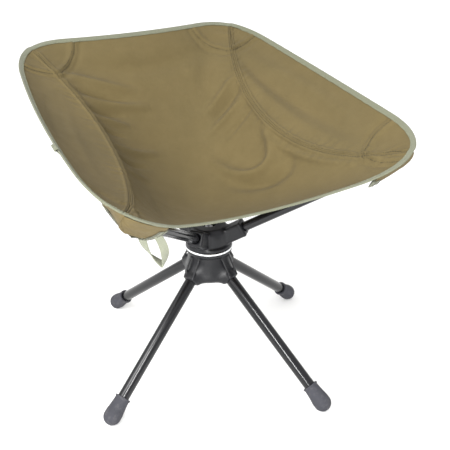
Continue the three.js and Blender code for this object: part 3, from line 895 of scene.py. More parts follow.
def upper_hub_field(points):
    """A low drum with four square-shouldered sockets, hollowed between them."""
    bottom, top = UPPER_HUB_Z
    outline = [
        (0, bottom - 5), (RING_RADIUS - 1, bottom - 5), (RING_RADIUS - 1, bottom + 4.5),
        (35, bottom + 8), (33, top - 8), (28, top), (0, top),
    ]
    hub = turned_distance(points, outline)
    poles = [pole_axis(corner) for corner in ("front_left", "front_right", "back_right", "back_left")]
    ways = [way for _, way, _ in poles]
    for root, way, _ in poles:
        arm = bar_distance(points, root, way, POLE_SOCKET_HALF, -24, POLE_SOCKET_MOUTH, rounding=3.5)
        hub = joined(hub, arm, fillet=5)
    for way, following in zip(ways, ways[1:] + ways[:1]):
        middle = levelled(way + following) * SCOOP_REACH + UP * (top + SCOOP_RISE)
        hub = cut(hub, ball_distance(points, middle, SCOOP_RADIUS), fillet=2.5)
    for root, way, _ in poles:
        mouth = POLE_SOCKET_MOUTH
        half = POLE_SOCKET_HALF + POLE_LIP
        lip = bar_distance(points, root, way, half, mouth - 6, mouth, rounding=4.5)
        hub = joined(hub, lip, fillet=1.2)
        side, lift = frame_of(way)
        for hand in (-1, 1):
            low = root - way * 8 - lift * (POLE_SOCKET_HALF + 0.4) + side * 6 * hand
            rib = capsule_distance(points, low, low + way * 34, UNDER_RIB_RADIUS)
            hub = joined(hub, rib, fillet=1.5)
    for root, way, _ in poles:
        bore = rod_distance(points, root, way, POLE_RADIUS + BORE_GAP, -POLE_INSERTION - BORE_GAP, 60)
        hub = cut(hub, bore, fillet=0.8)
    floor, brim = BOLT_SEAT_TOP_Z, top + 9
    well = [(0, floor), (0, brim), (WASHER_RADIUS + 3, brim), (WASHER_RADIUS + 2, floor)]
    hub = cut(hub, turned_distance(points, well), fillet=0.6)
    hub = cut(hub, upright_bore(points, BUSH_RADIUS + BORE_GAP, 200, 280))
    return cut(hub, points[..., 2] - bottom, fillet=0.8)


def make_ring():
    bottom, top = RING_Z
    round_out = [(RING_RADIUS - 0.5, bottom), (RING_RADIUS, bottom + 0.5), (RING_RADIUS, top - 0.5)]
    outline = [(RING_HOLE_RADIUS, bottom), *round_out, (RING_RADIUS - 0.5, top), (RING_HOLE_RADIUS, top)]
    make_upright("swivel_ring", closed_outline(outline), ring_plate, "base", 128)


def make_washer(name, bottom):
    bore, rim, top = BOLT_RADIUS + BORE_GAP, WASHER_RADIUS, bottom + WASHER_THICKNESS
    soft = WASHER_CHAMFER
    outline = [
        (bore, bottom), (rim - soft, bottom), (rim, bottom + soft),
        (rim, top - soft), (rim - soft, top), (bore, top),
    ]
    make_upright(name, closed_outline(outline), hardware, "base", 48)


def make_bolt_and_nut():
    """A socket-head bolt down through both hubs, and the chamfered nut under it."""
    low, high = (corner.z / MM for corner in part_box("swivel_bolt"))
    head_radius, head_height = BOLT_HEAD
    head = high - head_height
    shank = [(0, low), (BOLT_RADIUS - 0.6, low), (BOLT_RADIUS, low + 0.6)]
    thread_turns = [(BOLT_RADIUS - 0.35 * (k % 2), low + 1 + 0.5 * k) for k in range(2 * BOLT_THREAD_TURNS)]
    cap = [(BOLT_RADIUS, head), (head_radius, head), (head_radius, high - 0.8), (head_radius - 0.8, high)]
    recess = [(3.2, high), (3.0, high - 2.6), (0, high - 2.8)]
    make_upright("swivel_bolt", shank + thread_turns + cap + recess, hardware, "base", 48)
    bottom, top = (corner.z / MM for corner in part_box("swivel_nut"))
    bore = BOLT_RADIUS + BORE_GAP
    across = NUT_RADIUS
    outline = [(bore, bottom + 0.4), (bore + 0.5, bottom), (across - 0.9, bottom), (across, bottom + 0.7)]
    outline += [(across, top - 0.7), (across - 0.9, top), (bore + 0.5, top), (bore, top - 0.4)]
    make_upright("swivel_nut", closed_outline(outline), hardware, "base", 6)


# ---- poles ----------------------------------------------------------------------------------

def pole_axis(corner):
    """Where a pole's axis crosses the root circle, its direction, and its length to the tip."""
    end = np.array(TIPS[corner], float)
    root = levelled(end) * ROOT_RADIUS + UP * ROOT_Z
    length = np.linalg.norm(end - root)
    return root, (end - root) / length, length


def make_poles():
    for corner in TIPS:
        root, way, length = pole_axis(corner)
        end = length - TIP_HEAD
        if corner.startswith("back"):
            sections = {
                f"pole_lower_{corner}": (-POLE_INSERTION, (length - POLE_JOINT_GAP) / 2),
                f"pole_upper_{corner}": ((length + POLE_JOINT_GAP) / 2, end),
            }
        else:
            sections = {f"pole_{corner}": (-POLE_INSERTION, end)}
        for node, (start, stop) in sections.items():
            outline = tube_outline(POLE_RADIUS, POLE_WALL, start, stop)
            make_turned(node, outline, root, way, tube_black, "seat")
        head = POLE_RADIUS + 1
        bore = POLE_RADIUS - 1.3
        spigot = [(0, end - 14), (bore - 0.3, end - 14), (bore, end - 13), (bore, end + 0.3)]
        rim = [(head - 0.4, end + 0.3), (head, end + 0.8), (head, end + 4), (head - 0.6, end + 5.6)]
        dome = [(head - 2, end + 6.9), (head - 4, end + 7.7), (0, end + TIP_HEAD)]
        make_turned(f"pole_tip_{corner}", spigot + rim + dome, root, way, nylon, "seat")


def finish_hidden_parts():
    """The pieces inside the tubes and hubs keep their shape and get their real materials."""
    looks = {"cord": elastic, "plug": nylon, "ferrule": hardware, "bush": acetal}
    for name, piece in frame["nodes"].items():
        for word, material in looks.items():
            if word in name:
                for material_slot in piece.material_slots:
                    material_slot.link = "OBJECT"
                    material_slot.material = material


make_moulding("lower_hub", lower_hub_field, "base")
make_moulding("upper_hub", upper_hub_field, "seat")
make_ring()
make_washer("washer_top", BOLT_SEAT_TOP_Z + BORE_GAP)
make_washer("washer_bottom", BOLT_SEAT_BOTTOM_Z - BORE_GAP - WASHER_THICKNESS)
make_bolt_and_nut()
make_poles()
finish_hidden_parts()


# ---- the sling's drawn shape ----------------------------------------------------------------

def mirrored(point):
    return (-point[0], point[1], point[2])


# Each edge of the rim runs from one corner to the next, bowed from a straight line.
RIM = {
    "front": (mirrored(FRONT_CORNER), FRONT_CORNER, FRONT_BOW),
    "right": (FRONT_CORNER, BACK_CORNER, SIDE_BOW),
    "back": (BACK_CORNER, mirrored(BACK_CORNER), BACK_BOW),
    "left": (mirrored(BACK_CORNER), mirrored(FRONT_CORNER), mirrored(SIDE_BOW)),
}
RIM_ORDER = list(RIM)


def bowed(edge, t):
    start, end, bow = (np.array(point, float) for point in RIM[edge])
    t = np.asarray(t, float)[..., None]
    return start + (end - start) * t + 4 * t * (1 - t) * bow


def rounded_corner(before, after, s):
    s = np.asarray(s, float)[..., None]
    first, last = bowed(before, 1 - CORNER_ROUND), bowed(after, CORNER_ROUND)
    return (1 - s) ** 2 * first + 2 * s * (1 - s) * np.array(RIM[before][1], float) + s * s * last


def rim_point(edge, t):
    """t runs from the middle of one rounded corner to the middle of the next."""
    t = np.asarray(t, float)
    place = RIM_ORDER.index(edge)
    before, after = RIM_ORDER[place - 1], RIM_ORDER[(place + 1) % 4]
    leaving = rounded_corner(before, edge, np.clip(0.5 + 0.5 * t / CORNER_ROUND, 0, 1))
    coming = rounded_corner(edge, after, np.clip(0.5 * (t - 1 + CORNER_ROUND) / CORNER_ROUND, 0, 1))
    point = np.where((t < CORNER_ROUND)[..., None], leaving, bowed(edge, t))
    return np.where((t > 1 - CORNER_ROUND)[..., None], coming, point)


def seam_point(v):
    """The right-hand seam, from the front corner to the back one."""
    v = np.asarray(v, float)[..., None]
    first, last = rim_point("right", 0.0), rim_point("right", 1.0)
    point = (1 - v) ** 3 * first + 3 * v * (1 - v) ** 2 * np.array(SEAM_FRONT_CONTROL, float)
    return point + 3 * v * v * (1 - v) * np.array(SEAM_BACK_CONTROL, float) + v**3 * last


def panel_point(u, v):
    """The centre panel: u from the left seam to the right one, v from the front to the back."""
    across, along = u[..., None], v[..., None]
    right = seam_point(v)
    left = right * (-1, 1, 1)
    corners = [rim_point(*place) for place in (("front", 0), ("front", 1), ("back", 1), ("back", 0))]
    weights = [(1 - across) * (1 - along), across * (1 - along), (1 - across) * along, across * along]
    point = rim_point("front", u) * (1 - along) + rim_point("back", 1 - u) * along
    point = point + left * (1 - across) + right * across
    point = point - sum(weight * corner for weight, corner in zip(weights, corners))
    return point + (4 * u * (1 - u) * (4 * v * (1 - v)) ** BELLY_TAPER)[..., None] * np.array(BELLY)


def wing_point(r, v):
    """The right wing: r from the seam to the rim, v from the front corner to the back one."""
    point = seam_point(v) * (1 - r[..., None]) + rim_point("right", v) * r[..., None]
    return point + (16 * r * (1 - r) * v * (1 - v))[..., None] * np.array(WING_BELLY)


def sling_point(s, v):
    """s is -1 at the left rim, 0 and 1 at the seams, and 2 at the right rim."""
    s, v = np.broadcast_arrays(np.asarray(s, float), np.asarray(v, float))
    left = wing_point(np.clip(-s, 0, 1), v) * (-1, 1, 1)
    right = wing_point(np.clip(s - 1, 0, 1), v)
    point = np.where((s < 0)[..., None], left, panel_point(np.clip(s, 0, 1), v))
    return np.where((s > 1)[..., None], right, point)


# ---- the sling hung by cloth simulation -----------------------------------------------------

HANG_ROWS = 112
HANG_WING = 22  # columns of cloth in a wing
HANG_PANEL = 66
HANG_FRAMES = 26
HANG_CAP = 9.0  # how far any point may move
HANG_CLOTH = {
    "quality": 6,
    "mass": 0.0001,
    "tension_stiffness": 30,
    "compression_stiffness": 18,
    "shear_stiffness": 8,
    "bending_stiffness": 4,
    "vertex_group_mass": "hold",
}
RIM_HOLD, SEAM_HOLD, CLOTH_HOLD = 1.0, 0.42, 0.27
SLACK = 0.008
HANG_CALM = 4  # rows and columns over which its small buckles are evened out


def calmed(moved):
    """Movements of a grid of points, evened out with those of their neighbours."""
    for axis in (0, 1):
        moved = moved.swapaxes(0, axis)
        padding = ((HANG_CALM, HANG_CALM), (0, 0), (0, 0))
        padded = np.pad(moved, padding, mode="reflect", reflect_type="odd")
        moved = sum(weight * padded[k:k + len(moved)] for k, weight in enumerate(bell(HANG_CALM)))
        moved = moved.swapaxes(0, axis)
    return moved


def hung(drawn):
    """The drawn grid of points after the cloth has settled under its own weight."""
    rows, columns = drawn.shape[:2]
    spots, number = np.unique(np.round(drawn.reshape(-1, 3), 3), axis=0, return_inverse=True)
    number = number.ravel()
    faces = []
    for quad in number[grid_faces(rows, columns)]:
        corners = [int(a) for a, b in zip(quad, np.roll(quad, 1)) if a != b]
        if len(corners) > 2:
            faces.append(corners)
    mesh = bpy.data.meshes.new("hanging")
    mesh.from_pydata(to_frame(spots).tolist(), [], faces)
    piece = put_in_scene("hanging", mesh)

    hold = np.full((rows, columns), CLOTH_HOLD)
    hold[:, [HANG_WING, HANG_WING + HANG_PANEL]] = SEAM_HOLD
    hold[[0, -1]] = RIM_HOLD
    hold[:, [0, -1]] = RIM_HOLD
    group = piece.vertex_groups.new(name="hold")
    for index, weight in dict(zip(number.tolist(), hold.ravel().tolist())).items():
        group.add([index], weight, "REPLACE")

    cloth = piece.modifiers.new("hang", "CLOTH")
    for setting, value in HANG_CLOTH.items():
        setattr(cloth.settings, setting, value)
    cloth.settings.shrink_min = -SLACK
    cloth.collision_settings.use_collision = False
    cloth.point_cache.frame_end = HANG_FRAMES
    scene = bpy.context.scene
    for step in range(1, HANG_FRAMES + 1):
        scene.frame_set(step)
    settled = piece.evaluated_get(bpy.context.evaluated_depsgraph_get()).to_mesh()
    places = np.zeros(3 * len(spots), np.float32)
    settled.vertices.foreach_get("co", places)
    scene.frame_set(1)
    bpy.data.objects.remove(piece)

    places = places.reshape(-1, 3).astype(float) / MM - SWIVEL
    moved = calmed(places[number].reshape(drawn.shape) - drawn)
    length = np.linalg.norm(moved, axis=-1, keepdims=True)
    return drawn + moved * np.minimum(1, HANG_CAP / np.maximum(length, 1e-9))


HANG_S = np.concatenate([
    np.linspace(-1 + EDGE_TRIM, 0, HANG_WING + 1)[:-1],
    np.linspace(0, 1, HANG_PANEL + 1)[:-1],
    np.linspace(1, 2 - EDGE_TRIM, HANG_WING + 1),
])
HANG_V = np.linspace(END_TRIM, 1 - END_TRIM, HANG_ROWS + 1)
HUNG = hung(sling_point(HANG_S[None, :], HANG_V[:, None]))


def catmull(near, share):
    """Between the two middle ones of four neighbours."""
    a, b, c, d = near
    rise = (c - a) * share
    bend = (2 * a - 5 * b + 4 * c - d) * share**2
    return 0.5 * (2 * b + rise + bend + (3 * b - a - 3 * c + d) * share**3)


def cubic(values, places):
    """values (rows, columns, 3) read at places (rows, any number) of fractional columns."""
    last = values.shape[1] - 1
    base = np.clip(np.floor(places).astype(int), 0, last - 1)
    near = [np.take_along_axis(values, np.clip(base + k, 0, last)[..., None], 1) for k in (-1, 0, 1, 2)]
    return catmull(near, (places - base)[..., None])


def at_rows(v):
    """The hung cloth's columns at each of the given v."""
    places = np.interp(v, HANG_V, np.arange(len(HANG_V)))
    places = np.broadcast_to(places, (HUNG.shape[1], len(v)))
    return cubic(HUNG.swapaxes(0, 1), places).swapaxes(0, 1)


def on_cloth(s, v):
    """Points of the hung cloth at pairs of s and v."""
    columns = np.interp(s, HANG_S, np.arange(len(HANG_S)))
    return cubic(at_rows(np.asarray(v)), columns[:, None])[:, 0]


def grid_normals(points):
    across = np.gradient(points, axis=1)
    along = np.gradient(points, axis=0)
    return unit(np.cross(across, along))


# ---- seams, stitched arcs and folds, as heights over the cloth ------------------------------

SEAM_OFFSETS = np.array([0, 0.7, 1.3, 2.2, SEAM_ROW, 4.2, 5.6, 7.4, 8.8, 10.5])
SEAM_HEIGHTS = np.array([-4.5, -3.0, 0.7, 1.2, 0.0, 1.3, 1.5, 1.2, 0.2, 0.0])
SEAM_ROW_COLUMN = 4  # of SEAM_OFFSETS
SEAM_FULL_WIDTH = 60  # of cloth, under which the band is squeezed
SEAM_SEEDS = {"left": 0.0, "right": 5.0}

# Where the pockets are sewn on under each corner: (s, v) from the end edge to the side edge.
BACK_ARC = (
    (0.765, 1.0), (0.80, 0.955), (0.86, 0.915), (0.935, 0.893),
    (1.0, 0.884), (1.35, 0.874), (1.8, 0.852), (2.0, 0.838),
)
FRONT_ARC = (
    (0.935, 0.0), (0.942, 0.045), (0.957, 0.09), (0.98, 0.12), (1.0, 0.142),
    (1.2, 0.165), (1.57, 0.2), (1.9, 0.198), (2.0, 0.19),
)

FOLD_RISE = 3.0
FOLD_SPREAD = 0.8

# Folds that the fitting of the cloth leaves, each a height, a half width and (s, v) points.
FOLDS = (
    (-2.6, 24, ((0.06, 0.915), (0.35, 0.90), (0.65, 0.90), (0.94, 0.915))),
    (2.6, 11, ((0.01, 0.885), (0.12, 0.868), (0.26, 0.85), (0.42, 0.83))),
    (-2.4, 10, ((0.02, 0.83), (0.16, 0.815), (0.36, 0.80))),
    (2.8, 11, ((0.03, 0.79), (0.2, 0.785), (0.46, 0.785))),
    (-2.2, 9, ((0.03, 0.745), (0.16, 0.75), (0.30, 0.755))),
    (2.2, 8, ((0.02, 0.71), (0.14, 0.715), (0.30, 0.72))),
    (-1.6, 7, ((0.02, 0.665), (0.12, 0.67), (0.24, 0.675))),
    (2.4, 9, ((0.02, 0.60), (0.14, 0.605), (0.26, 0.615), (0.40, 0.63))),
    (-1.8, 8, ((0.02, 0.545), (0.14, 0.55), (0.30, 0.565))),
    (1.6, 8, ((0.02, 0.48), (0.13, 0.485), (0.26, 0.50))),
    (2.6, 10, ((0.985, 0.79), (0.86, 0.745), (0.72, 0.71))),
    (-2.2, 9, ((0.985, 0.735), (0.85, 0.70), (0.74, 0.68))),
    (2.4, 9, ((0.985, 0.69), (0.84, 0.665), (0.69, 0.645))),
    (-1.8, 8, ((0.985, 0.63), (0.87, 0.62), (0.76, 0.60))),
    (4.0, 13, ((0.985, 0.56), (0.93, 0.48), (0.86, 0.42), (0.77, 0.41), (0.70, 0.47), (0.655, 0.57))),
    (-3.2, 15, ((0.95, 0.40), (0.85, 0.34), (0.74, 0.36), (0.65, 0.44))),
    (1.8, 7, ((0.93, 0.50), (0.94, 0.36), (0.945, 0.24), (0.955, 0.12))),
    (-1.1, 20, ((0.86, 0.93), (0.80, 0.85), (0.75, 0.76))),
    (1.6, 15, ((1.03, 0.86), (1.20, 0.66), (1.26, 0.42), (1.22, 0.18))),
    (-1.3, 13, ((1.20, 0.84), (1.38, 0.64), (1.46, 0.42), (1.45, 0.24))),
    (1.5, 15, ((1.44, 0.83), (1.66, 0.62), (1.70, 0.42), (1.62, 0.26))),
    (0.6, 14, ((-0.25, 0.80), (-0.42, 0.62), (-0.46, 0.44), (-0.36, 0.26))),
    (-0.5, 14, ((-0.55, 0.78), (-0.70, 0.60), (-0.72, 0.42))),
)


def wander(along, pitch, seed=0.0):
    """An uneven ripple from -1 to 1 along a length."""
    turn = 2 * math.pi * along / pitch
    return 0.6 * np.sin(turn + 1.7 * np.sin(turn / 3.7 + seed)) + 0.4 * np.sin(1.63 * turn + 2.1 * seed + 1.0)


def hump(off, middle, width):
    """A smooth rise to one at middle, that fades over width to either side."""
    return np.exp(-(((off - middle) / width) ** 2))


def seam_relief(offset, along, seed):
    """A pressed-open seam: a groove between two raised bands, each with a row of stitches."""
    band = np.interp(offset, SEAM_OFFSETS, SEAM_HEIGHTS)
    pucker = 0.55 * hump(offset, 5, 9) * wander(along, 8.5, seed)
    gather = 0.8 * hump(offset, 14, 14) * wander(along, 23, seed + 2)
    return band * (1 + 0.2 * wander(along, 6.1, seed)) + (pucker + gather) * (offset > 0.3)


def nearest_on_path(points, path):
    """How far points are from a path, how far along it they meet it, from 0 to 1, and where."""
    best = np.full(points.shape[:-1], np.inf)
    along = np.zeros(best.shape)
    where = np.zeros(points.shape)
    marks = distances(path)
    for start, end, mark, reach in zip(path, path[1:], marks, np.diff(marks)):
        run = end - start
        share = np.clip((points - start) @ run / (run @ run), 0, 1)
        spot = start + share[..., None] * run
        off = np.linalg.norm(points - spot, axis=-1)
        nearer = off < best
        best = np.where(nearer, off, best)
        along = np.where(nearer, (mark + share * reach) / marks[-1], along)
        where = np.where(nearer[..., None], spot, where)
    return best, along, where


def smooth_path(knots, steps=10):
    """A smooth run of (s, v) pairs through a few of them."""
    knots = np.array(knots, float)[:, None, :]
    places = np.linspace(0, len(knots) - 1, steps * (len(knots) - 1) + 1)
    values = np.concatenate([knots, np.zeros_like(knots[..., :1])], -1).swapaxes(0, 1)
    path = cubic(values, places[None, :])[0]
    return path[:, 0], np.clip(path[:, 1], 0, 1)


def arc_path(knots, side):
    """The line that a pocket is sewn on along; the left one mirrors the right one."""
    s, v = smooth_path(knots)
    return on_cloth(1 - s if side == "left" else s, v)


ARCS = {
    f"{end}_{side}": arc_path(knots, side)
    for end, knots in (("back", BACK_ARC), ("front", FRONT_ARC))
    for side in ("right", "left")
}
CORNERS = {
    "back_right": rim_point("right", 1.0),
    "back_left": rim_point("back", 1.0),
    "front_right": rim_point("right", 0.0),
    "front_left": rim_point("front", 0.0),
}


def arc_relief(points):
    """A stitched line that stands proud on the corner's side, where a second layer is under it."""
    height = np.zeros(points.shape[:-1])
    for place, (corner, path) in enumerate(ARCS.items()):
        off, along, spot = nearest_on_path(points, path)
        own_reach = np.linalg.norm(points - CORNERS[corner], axis=-1)
        inner = own_reach < np.linalg.norm(spot - CORNERS[corner], axis=-1)
        ripple = 1 + 0.15 * wander(along * distances(path)[-1], 11, place)
        ridge = np.where(inner, 2.8 * hump(off, 5, 4.5), 0.9 * hump(off, 3.5, 2.2))
        dip = -2.0 * hump(off, 9, 5) * ~inner
        height += (ridge * ripple + dip) - 1.7 * hump(off, 0, 1.7)
    return height


def fold_relief(points):
    """The folds, each fading out at both of its ends."""
    height = np.zeros(points.shape[:-1])
    for rise, width, knots in FOLDS:
        off, along, _ = nearest_on_path(points, on_cloth(*smooth_path(knots, 5)))
        taper = np.sin(math.pi * np.clip(along, 0.02, 0.98)) ** 0.8
        height += FOLD_RISE * rise * hump(off, 0, FOLD_SPREAD * width) * taper
    return height


# ---- the sling's three panels ---------------------------------------------------------------

FINE_ROWS = 236
FINE_PANEL = 132  # columns between the two bands of a seam
FINE_WING = 44
V_FINE = np.linspace(0, 1, FINE_ROWS + 1)
ROWS_FINE = at_rows(V_FINE)
SEAM_RUN = distances(ROWS_FINE[:, HANG_WING])


def respaced(strip, targets):
    """A strip of rows read at distances across it: targets (rows, any number) from its first column."""
    columns = np.arange(strip.shape[1])
    across = row_distances(strip) + columns * 1e-9  # so that rows of no width can be read too
    places = [np.interp(target, marks, columns) for target, marks in zip(targets, across)]
    return cubic(strip, np.array(places))


def make_sheet(name, points, uv, node):
    """A cloth with a thickness, from a grid of points."""
    rows, columns = points.shape[:2]
    faces = grid_faces(rows, columns)
    piece = make_piece(name, points.reshape(-1, 3), faces, canvas, "seat", uv, sharp=180)
    shape = bmesh.new()
    shape.from_mesh(piece.data)
    bmesh.ops.remove_doubles(shape, verts=shape.verts, dist=CLOTH_WELD)
    bmesh.ops.dissolve_degenerate(shape, edges=shape.edges, dist=TIDY_WELD)
    shape.to_mesh(piece.data)
    shape.free()
    solid = piece.modifiers.new("cloth", "SOLIDIFY")
    solid.thickness = CLOTH * MM
    solid.offset = 0
    applied(piece)
    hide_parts(node)
    return piece


def fade_in(reach):
    """Relief grows from nothing under the tape to its full height a little way in."""
    return np.clip((reach - 0.6 * TAPE_WIDTH) / TAPE_WIDTH, 0, 1)


END_FADE = fade_in(np.minimum(SEAM_RUN, SEAM_RUN[-1] - SEAM_RUN))


def seam_columns(width):
    """Distances from a seam for its band, squeezed where the cloth is narrow."""
    return SEAM_OFFSETS * np.minimum(1, width / SEAM_FULL_WIDTH)


def raised(points, height):
    return points + grid_normals(points) * height[..., None]


def cloth_uv(points, start):
    """Distances across and along the cloth, in metres, for its weave."""
    across = row_distances(points)
    along = np.broadcast_to(SEAM_RUN[:, None], across.shape)
    return np.stack([(across - across[:, -1:] * start) * MM, along * MM], -1).reshape(-1, 2)


def make_panel():
    """The centre panel, half of each seam's band on either side."""
    strip = ROWS_FINE[:, HANG_WING:HANG_WING + HANG_PANEL + 1]
    width = row_distances(strip)[:, -1:]
    left = seam_columns(width)
    share = np.linspace(0, 1, FINE_PANEL + 1)[None, 1:-1]
    middle = left[:, -1:] + (width - 2 * left[:, -1:]) * share
    targets = np.concatenate([left, middle, width - left[:, ::-1]], 1)
    points = respaced(strip, targets)
    offset = np.minimum(targets, width - targets)
    seed = np.where(targets > width / 2, SEAM_SEEDS["right"], SEAM_SEEDS["left"])
    run = np.broadcast_to(SEAM_RUN[:, None], targets.shape)
    height = seam_relief(offset, run, seed) + arc_relief(points) + fold_relief(points)
    points = raised(points, height * END_FADE[:, None])
    uv = cloth_uv(points, 0.5)
    return make_sheet("centre_panel_cloth", points, uv, "centre_panel"), points


def make_wing(side):
    """A wing, worked out from the seam to the rim, with its seam's other half band."""
    if side == "right":
        strip = ROWS_FINE[:, HANG_WING + HANG_PANEL:]
    else:
        strip = ROWS_FINE[:, :HANG_WING + 1][:, ::-1]
    width = row_distances(strip)[:, -1:]
    band = seam_columns(width)
    share = np.linspace(0, 1, FINE_WING + 1)[None, 1:]
    targets = np.concatenate([band, band[:, -1:] + (width - band[:, -1:]) * share], 1)
    points = respaced(strip, targets)
    run = np.broadcast_to(SEAM_RUN[:, None], targets.shape)
    height = seam_relief(targets, run, SEAM_SEEDS[side]) + arc_relief(points) + fold_relief(points)
    up = grid_normals(points) * (1 if side == "right" else -1)
    fade = np.minimum(fade_in(width - targets), END_FADE[:, None])
    points = points + up * (height * fade)[..., None]
    uv = cloth_uv(points, 0.0)
    if side == "left":
        columns = points.shape[1]
        uv = uv.reshape(-1, columns, 2)[:, ::-1].reshape(-1, 2) * (-1, 1)
        points = points[:, ::-1]
    piece = make_sheet(f"wing_{side}_cloth", points, uv, f"wing_{side}")
    return piece, points


panel_piece, panel_points = make_panel()
wings = {side: make_wing(side) for side in ("left", "right")}


# ---- rows of stitches and bound edges -------------------------------------------------------

# A stitch's cross sections: place along its length, then width and rise in thread radii.
STITCH_RINGS = ((-0.5, 0.35, -0.5), (-0.32, 0.95, 0.0), (0.32, 0.95, 0.0), (0.5, 0.35, -0.5))
STITCH_SIDES = 5


def stitches(path, up):
    """Points and faces of a row of short, rounded stitches laid along a path."""
    run = distances(path)
    middles = np.arange(STITCH_PITCH / 2, run[-1] - STITCH_PITCH / 3, STITCH_PITCH)
    lift = unit(read_along(run, up, middles))
    way = unit(read_along(run, path, middles + 0.5) - read_along(run, path, middles - 0.5))
    side = np.cross(way, lift)
    start = read_along(run, path, middles) + lift * THREAD_RADIUS * (1 - THREAD_SINK)
    sides, rings = STITCH_SIDES, STITCH_RINGS
    angle = np.arange(sides) * 2 * math.pi / sides
    points = []
    for reach, width, rise in rings:
        centre = start + way * reach * STITCH_LENGTH + lift * rise * THREAD_RADIUS
        spoke = np.cos(angle)[None, :, None] * side[:, None] + np.sin(angle)[None, :, None] * lift[:, None]
        points.append(centre[:, None] + spoke * THREAD_RADIUS * width)
    points = np.stack(points, 1)
    shell = grid_faces(len(rings), sides, closed_columns=True).tolist()
    ends = [list(range(sides))[::-1], list(range(sides * (len(rings) - 1), sides * len(rings)))]
    size = len(rings) * sides
    faces = [[corner + k * size for corner in face] for k in range(len(middles)) for face in shell + ends]
    return points.reshape(-1, 3), faces


def make_thread(name, rows, material):
    """One piece from many rows of stitches."""
    points, faces = [], []
    for path, up in rows:
        more_points, more_faces = stitches(path, up)
        start = sum(len(p) for p in points)
        points.append(more_points)
        faces += [[corner + start for corner in face] for face in more_faces]
    return make_piece(name, np.vstack(points), faces, material, "seat", sharp=180)


def smoothed(values, reach, closed=True):
    """Rows of values, each evened out with its neighbours out to reach."""
    padded = np.pad(values, ((reach, reach), (0, 0)), mode="wrap" if closed else "edge")
    return np.stack([np.convolve(column, bell(reach), mode="valid") for column in padded.T], -1)


RIM_STEP = 2.6
RIM_SHARE = 0.035  # of the cloth, in to where the tape's way inward is read


def rim_line(inset):
    """The rim as pairs of s and v, moved in from the edge by a share of the cloth."""
    run = np.linspace(0, 1, 181)[:-1]
    low, high = inset, 1 - inset
    front = [(s, low) for s in run]
    right = [(2 - inset, v) for v in run]
    back = [(s, high) for s in 1 - run]
    left = [(-1 + inset, v) for v in 1 - run]
    return np.array(front + right + back + left)


def rim_path():
    """Points evenly spaced round the rim, with unit vectors into the cloth and out of its face."""
    edge_s, edge_v = rim_line(0.0).T
    inner_s, inner_v = rim_line(RIM_SHARE).T
    edge, inner = on_cloth(edge_s, edge_v), on_cloth(inner_s, inner_v)
    keep = np.linalg.norm(edge - np.roll(edge, 1, axis=0), axis=1) > 0.05
    edge, inner = edge[keep], inner[keep]
    inward = inner - edge
    spaced, marks = evenly(edge, RIM_STEP, closed=True)
    nearest = np.argmin(np.linalg.norm(spaced[:, None] - edge[None], axis=-1), axis=1)
    inward = smoothed(inward[nearest], 14)
    spaced = smoothed(spaced, 2)
    way = unit(np.roll(spaced, -1, axis=0) - np.roll(spaced, 1, axis=0))
    inward = square_to(way, inward)
    return spaced, inward, np.cross(way, inward), marks


def folded_tape(width, gap, thickness, nose):
    """The closed outline of a tape folded in two over an edge: (inward, out of the face)."""
    outer = gap + thickness
    upper = [(width, gap + 0.15), (width - 0.2, outer), (0.4, outer)]
    upper += [(-nose * 0.7, outer * 0.72), (-nose, 0.0)]
    lower = [(x, -y) for x, y in upper[-2::-1]]
    inside = [(width, -gap), (0.5, -gap), (0.0, 0.0), (0.5, gap), (width, gap)]
    return upper + lower + inside


def flat_tape(width, thickness):
    """The closed outline of a flat tape with slightly rounded edges, starting from one edge."""
    half, rise = width / 2, thickness / 2
    soft = min(0.4, rise)
    upper = [(-half, rise - soft / 2), (-half + soft, rise), (half - soft, rise), (half, rise - soft / 2)]
    return upper + [(x, -y) for x, y in upper[::-1]]


def tape_uv(profile, marks):
    """Distances across and along a swept tape, in metres, with its fold in the middle."""
    across = distances(profile)
    across = across - across[int(np.argmin(profile[:, 0]))]
    return np.stack(np.broadcast_arrays(across[None, :], marks[:, None]), -1).reshape(-1, 2) * MM


def make_tape(name, line, width_way, up, profile, material, body, marks, closed=False):
    """A tape laid along a line: marks are the distances of its points along it."""
    profile = np.array(profile)
    points, faces = sweep(line, width_way, up, profile, closed)
    piece = make_piece(name, points, faces, material, body, tape_uv(profile, marks))
    tidy(piece)
    return piece


RIM_POINTS, RIM_INWARD, RIM_UP, RIM_MARKS = rim_path()


def make_binding():
    """The tape round the rim, its overlapped end, and its stitches on both faces."""
    inward = RIM_INWARD * (1 + 0.04 * wander(RIM_MARKS, 31.0, 1.0)[:, None])
    profile = folded_tape(TAPE_WIDTH, TAPE_GAP, TAPE_THICKNESS, TAPE_NOSE)
    tape = make_tape("rim_binding_tape", RIM_POINTS, inward, RIM_UP, profile,
                     binding_tape, "seat", RIM_MARKS, closed=True)
    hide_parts("rim_binding")
    # The tape's two ends overlap a little way along the front edge.
    start = int(np.argmin(np.linalg.norm(RIM_POINTS - rim_point("front", LAP_PLACE), axis=1)))
    lap = slice(start, start + LAP_POINTS)
    outer_gap = TAPE_GAP + TAPE_THICKNESS
    profile = folded_tape(TAPE_WIDTH + 1, outer_gap, TAPE_THICKNESS, TAPE_NOSE + TAPE_THICKNESS)
    end = make_tape("rim_binding_overlap", RIM_POINTS[lap], RIM_INWARD[lap], RIM_UP[lap], profile,
                    binding_tape, "seat", RIM_MARKS[lap])
    line = RIM_POINTS + RIM_INWARD * (TAPE_WIDTH - TAPE_ROW)
    rows = []
    for up in (RIM_UP, -RIM_UP):
        row = line + up * outer_gap
        rows.append((np.vstack([row, row[:1]]), np.vstack([up, up[:1]])))
    return [tape, end, make_thread("rim_binding_stitches", rows, tape_thread)]


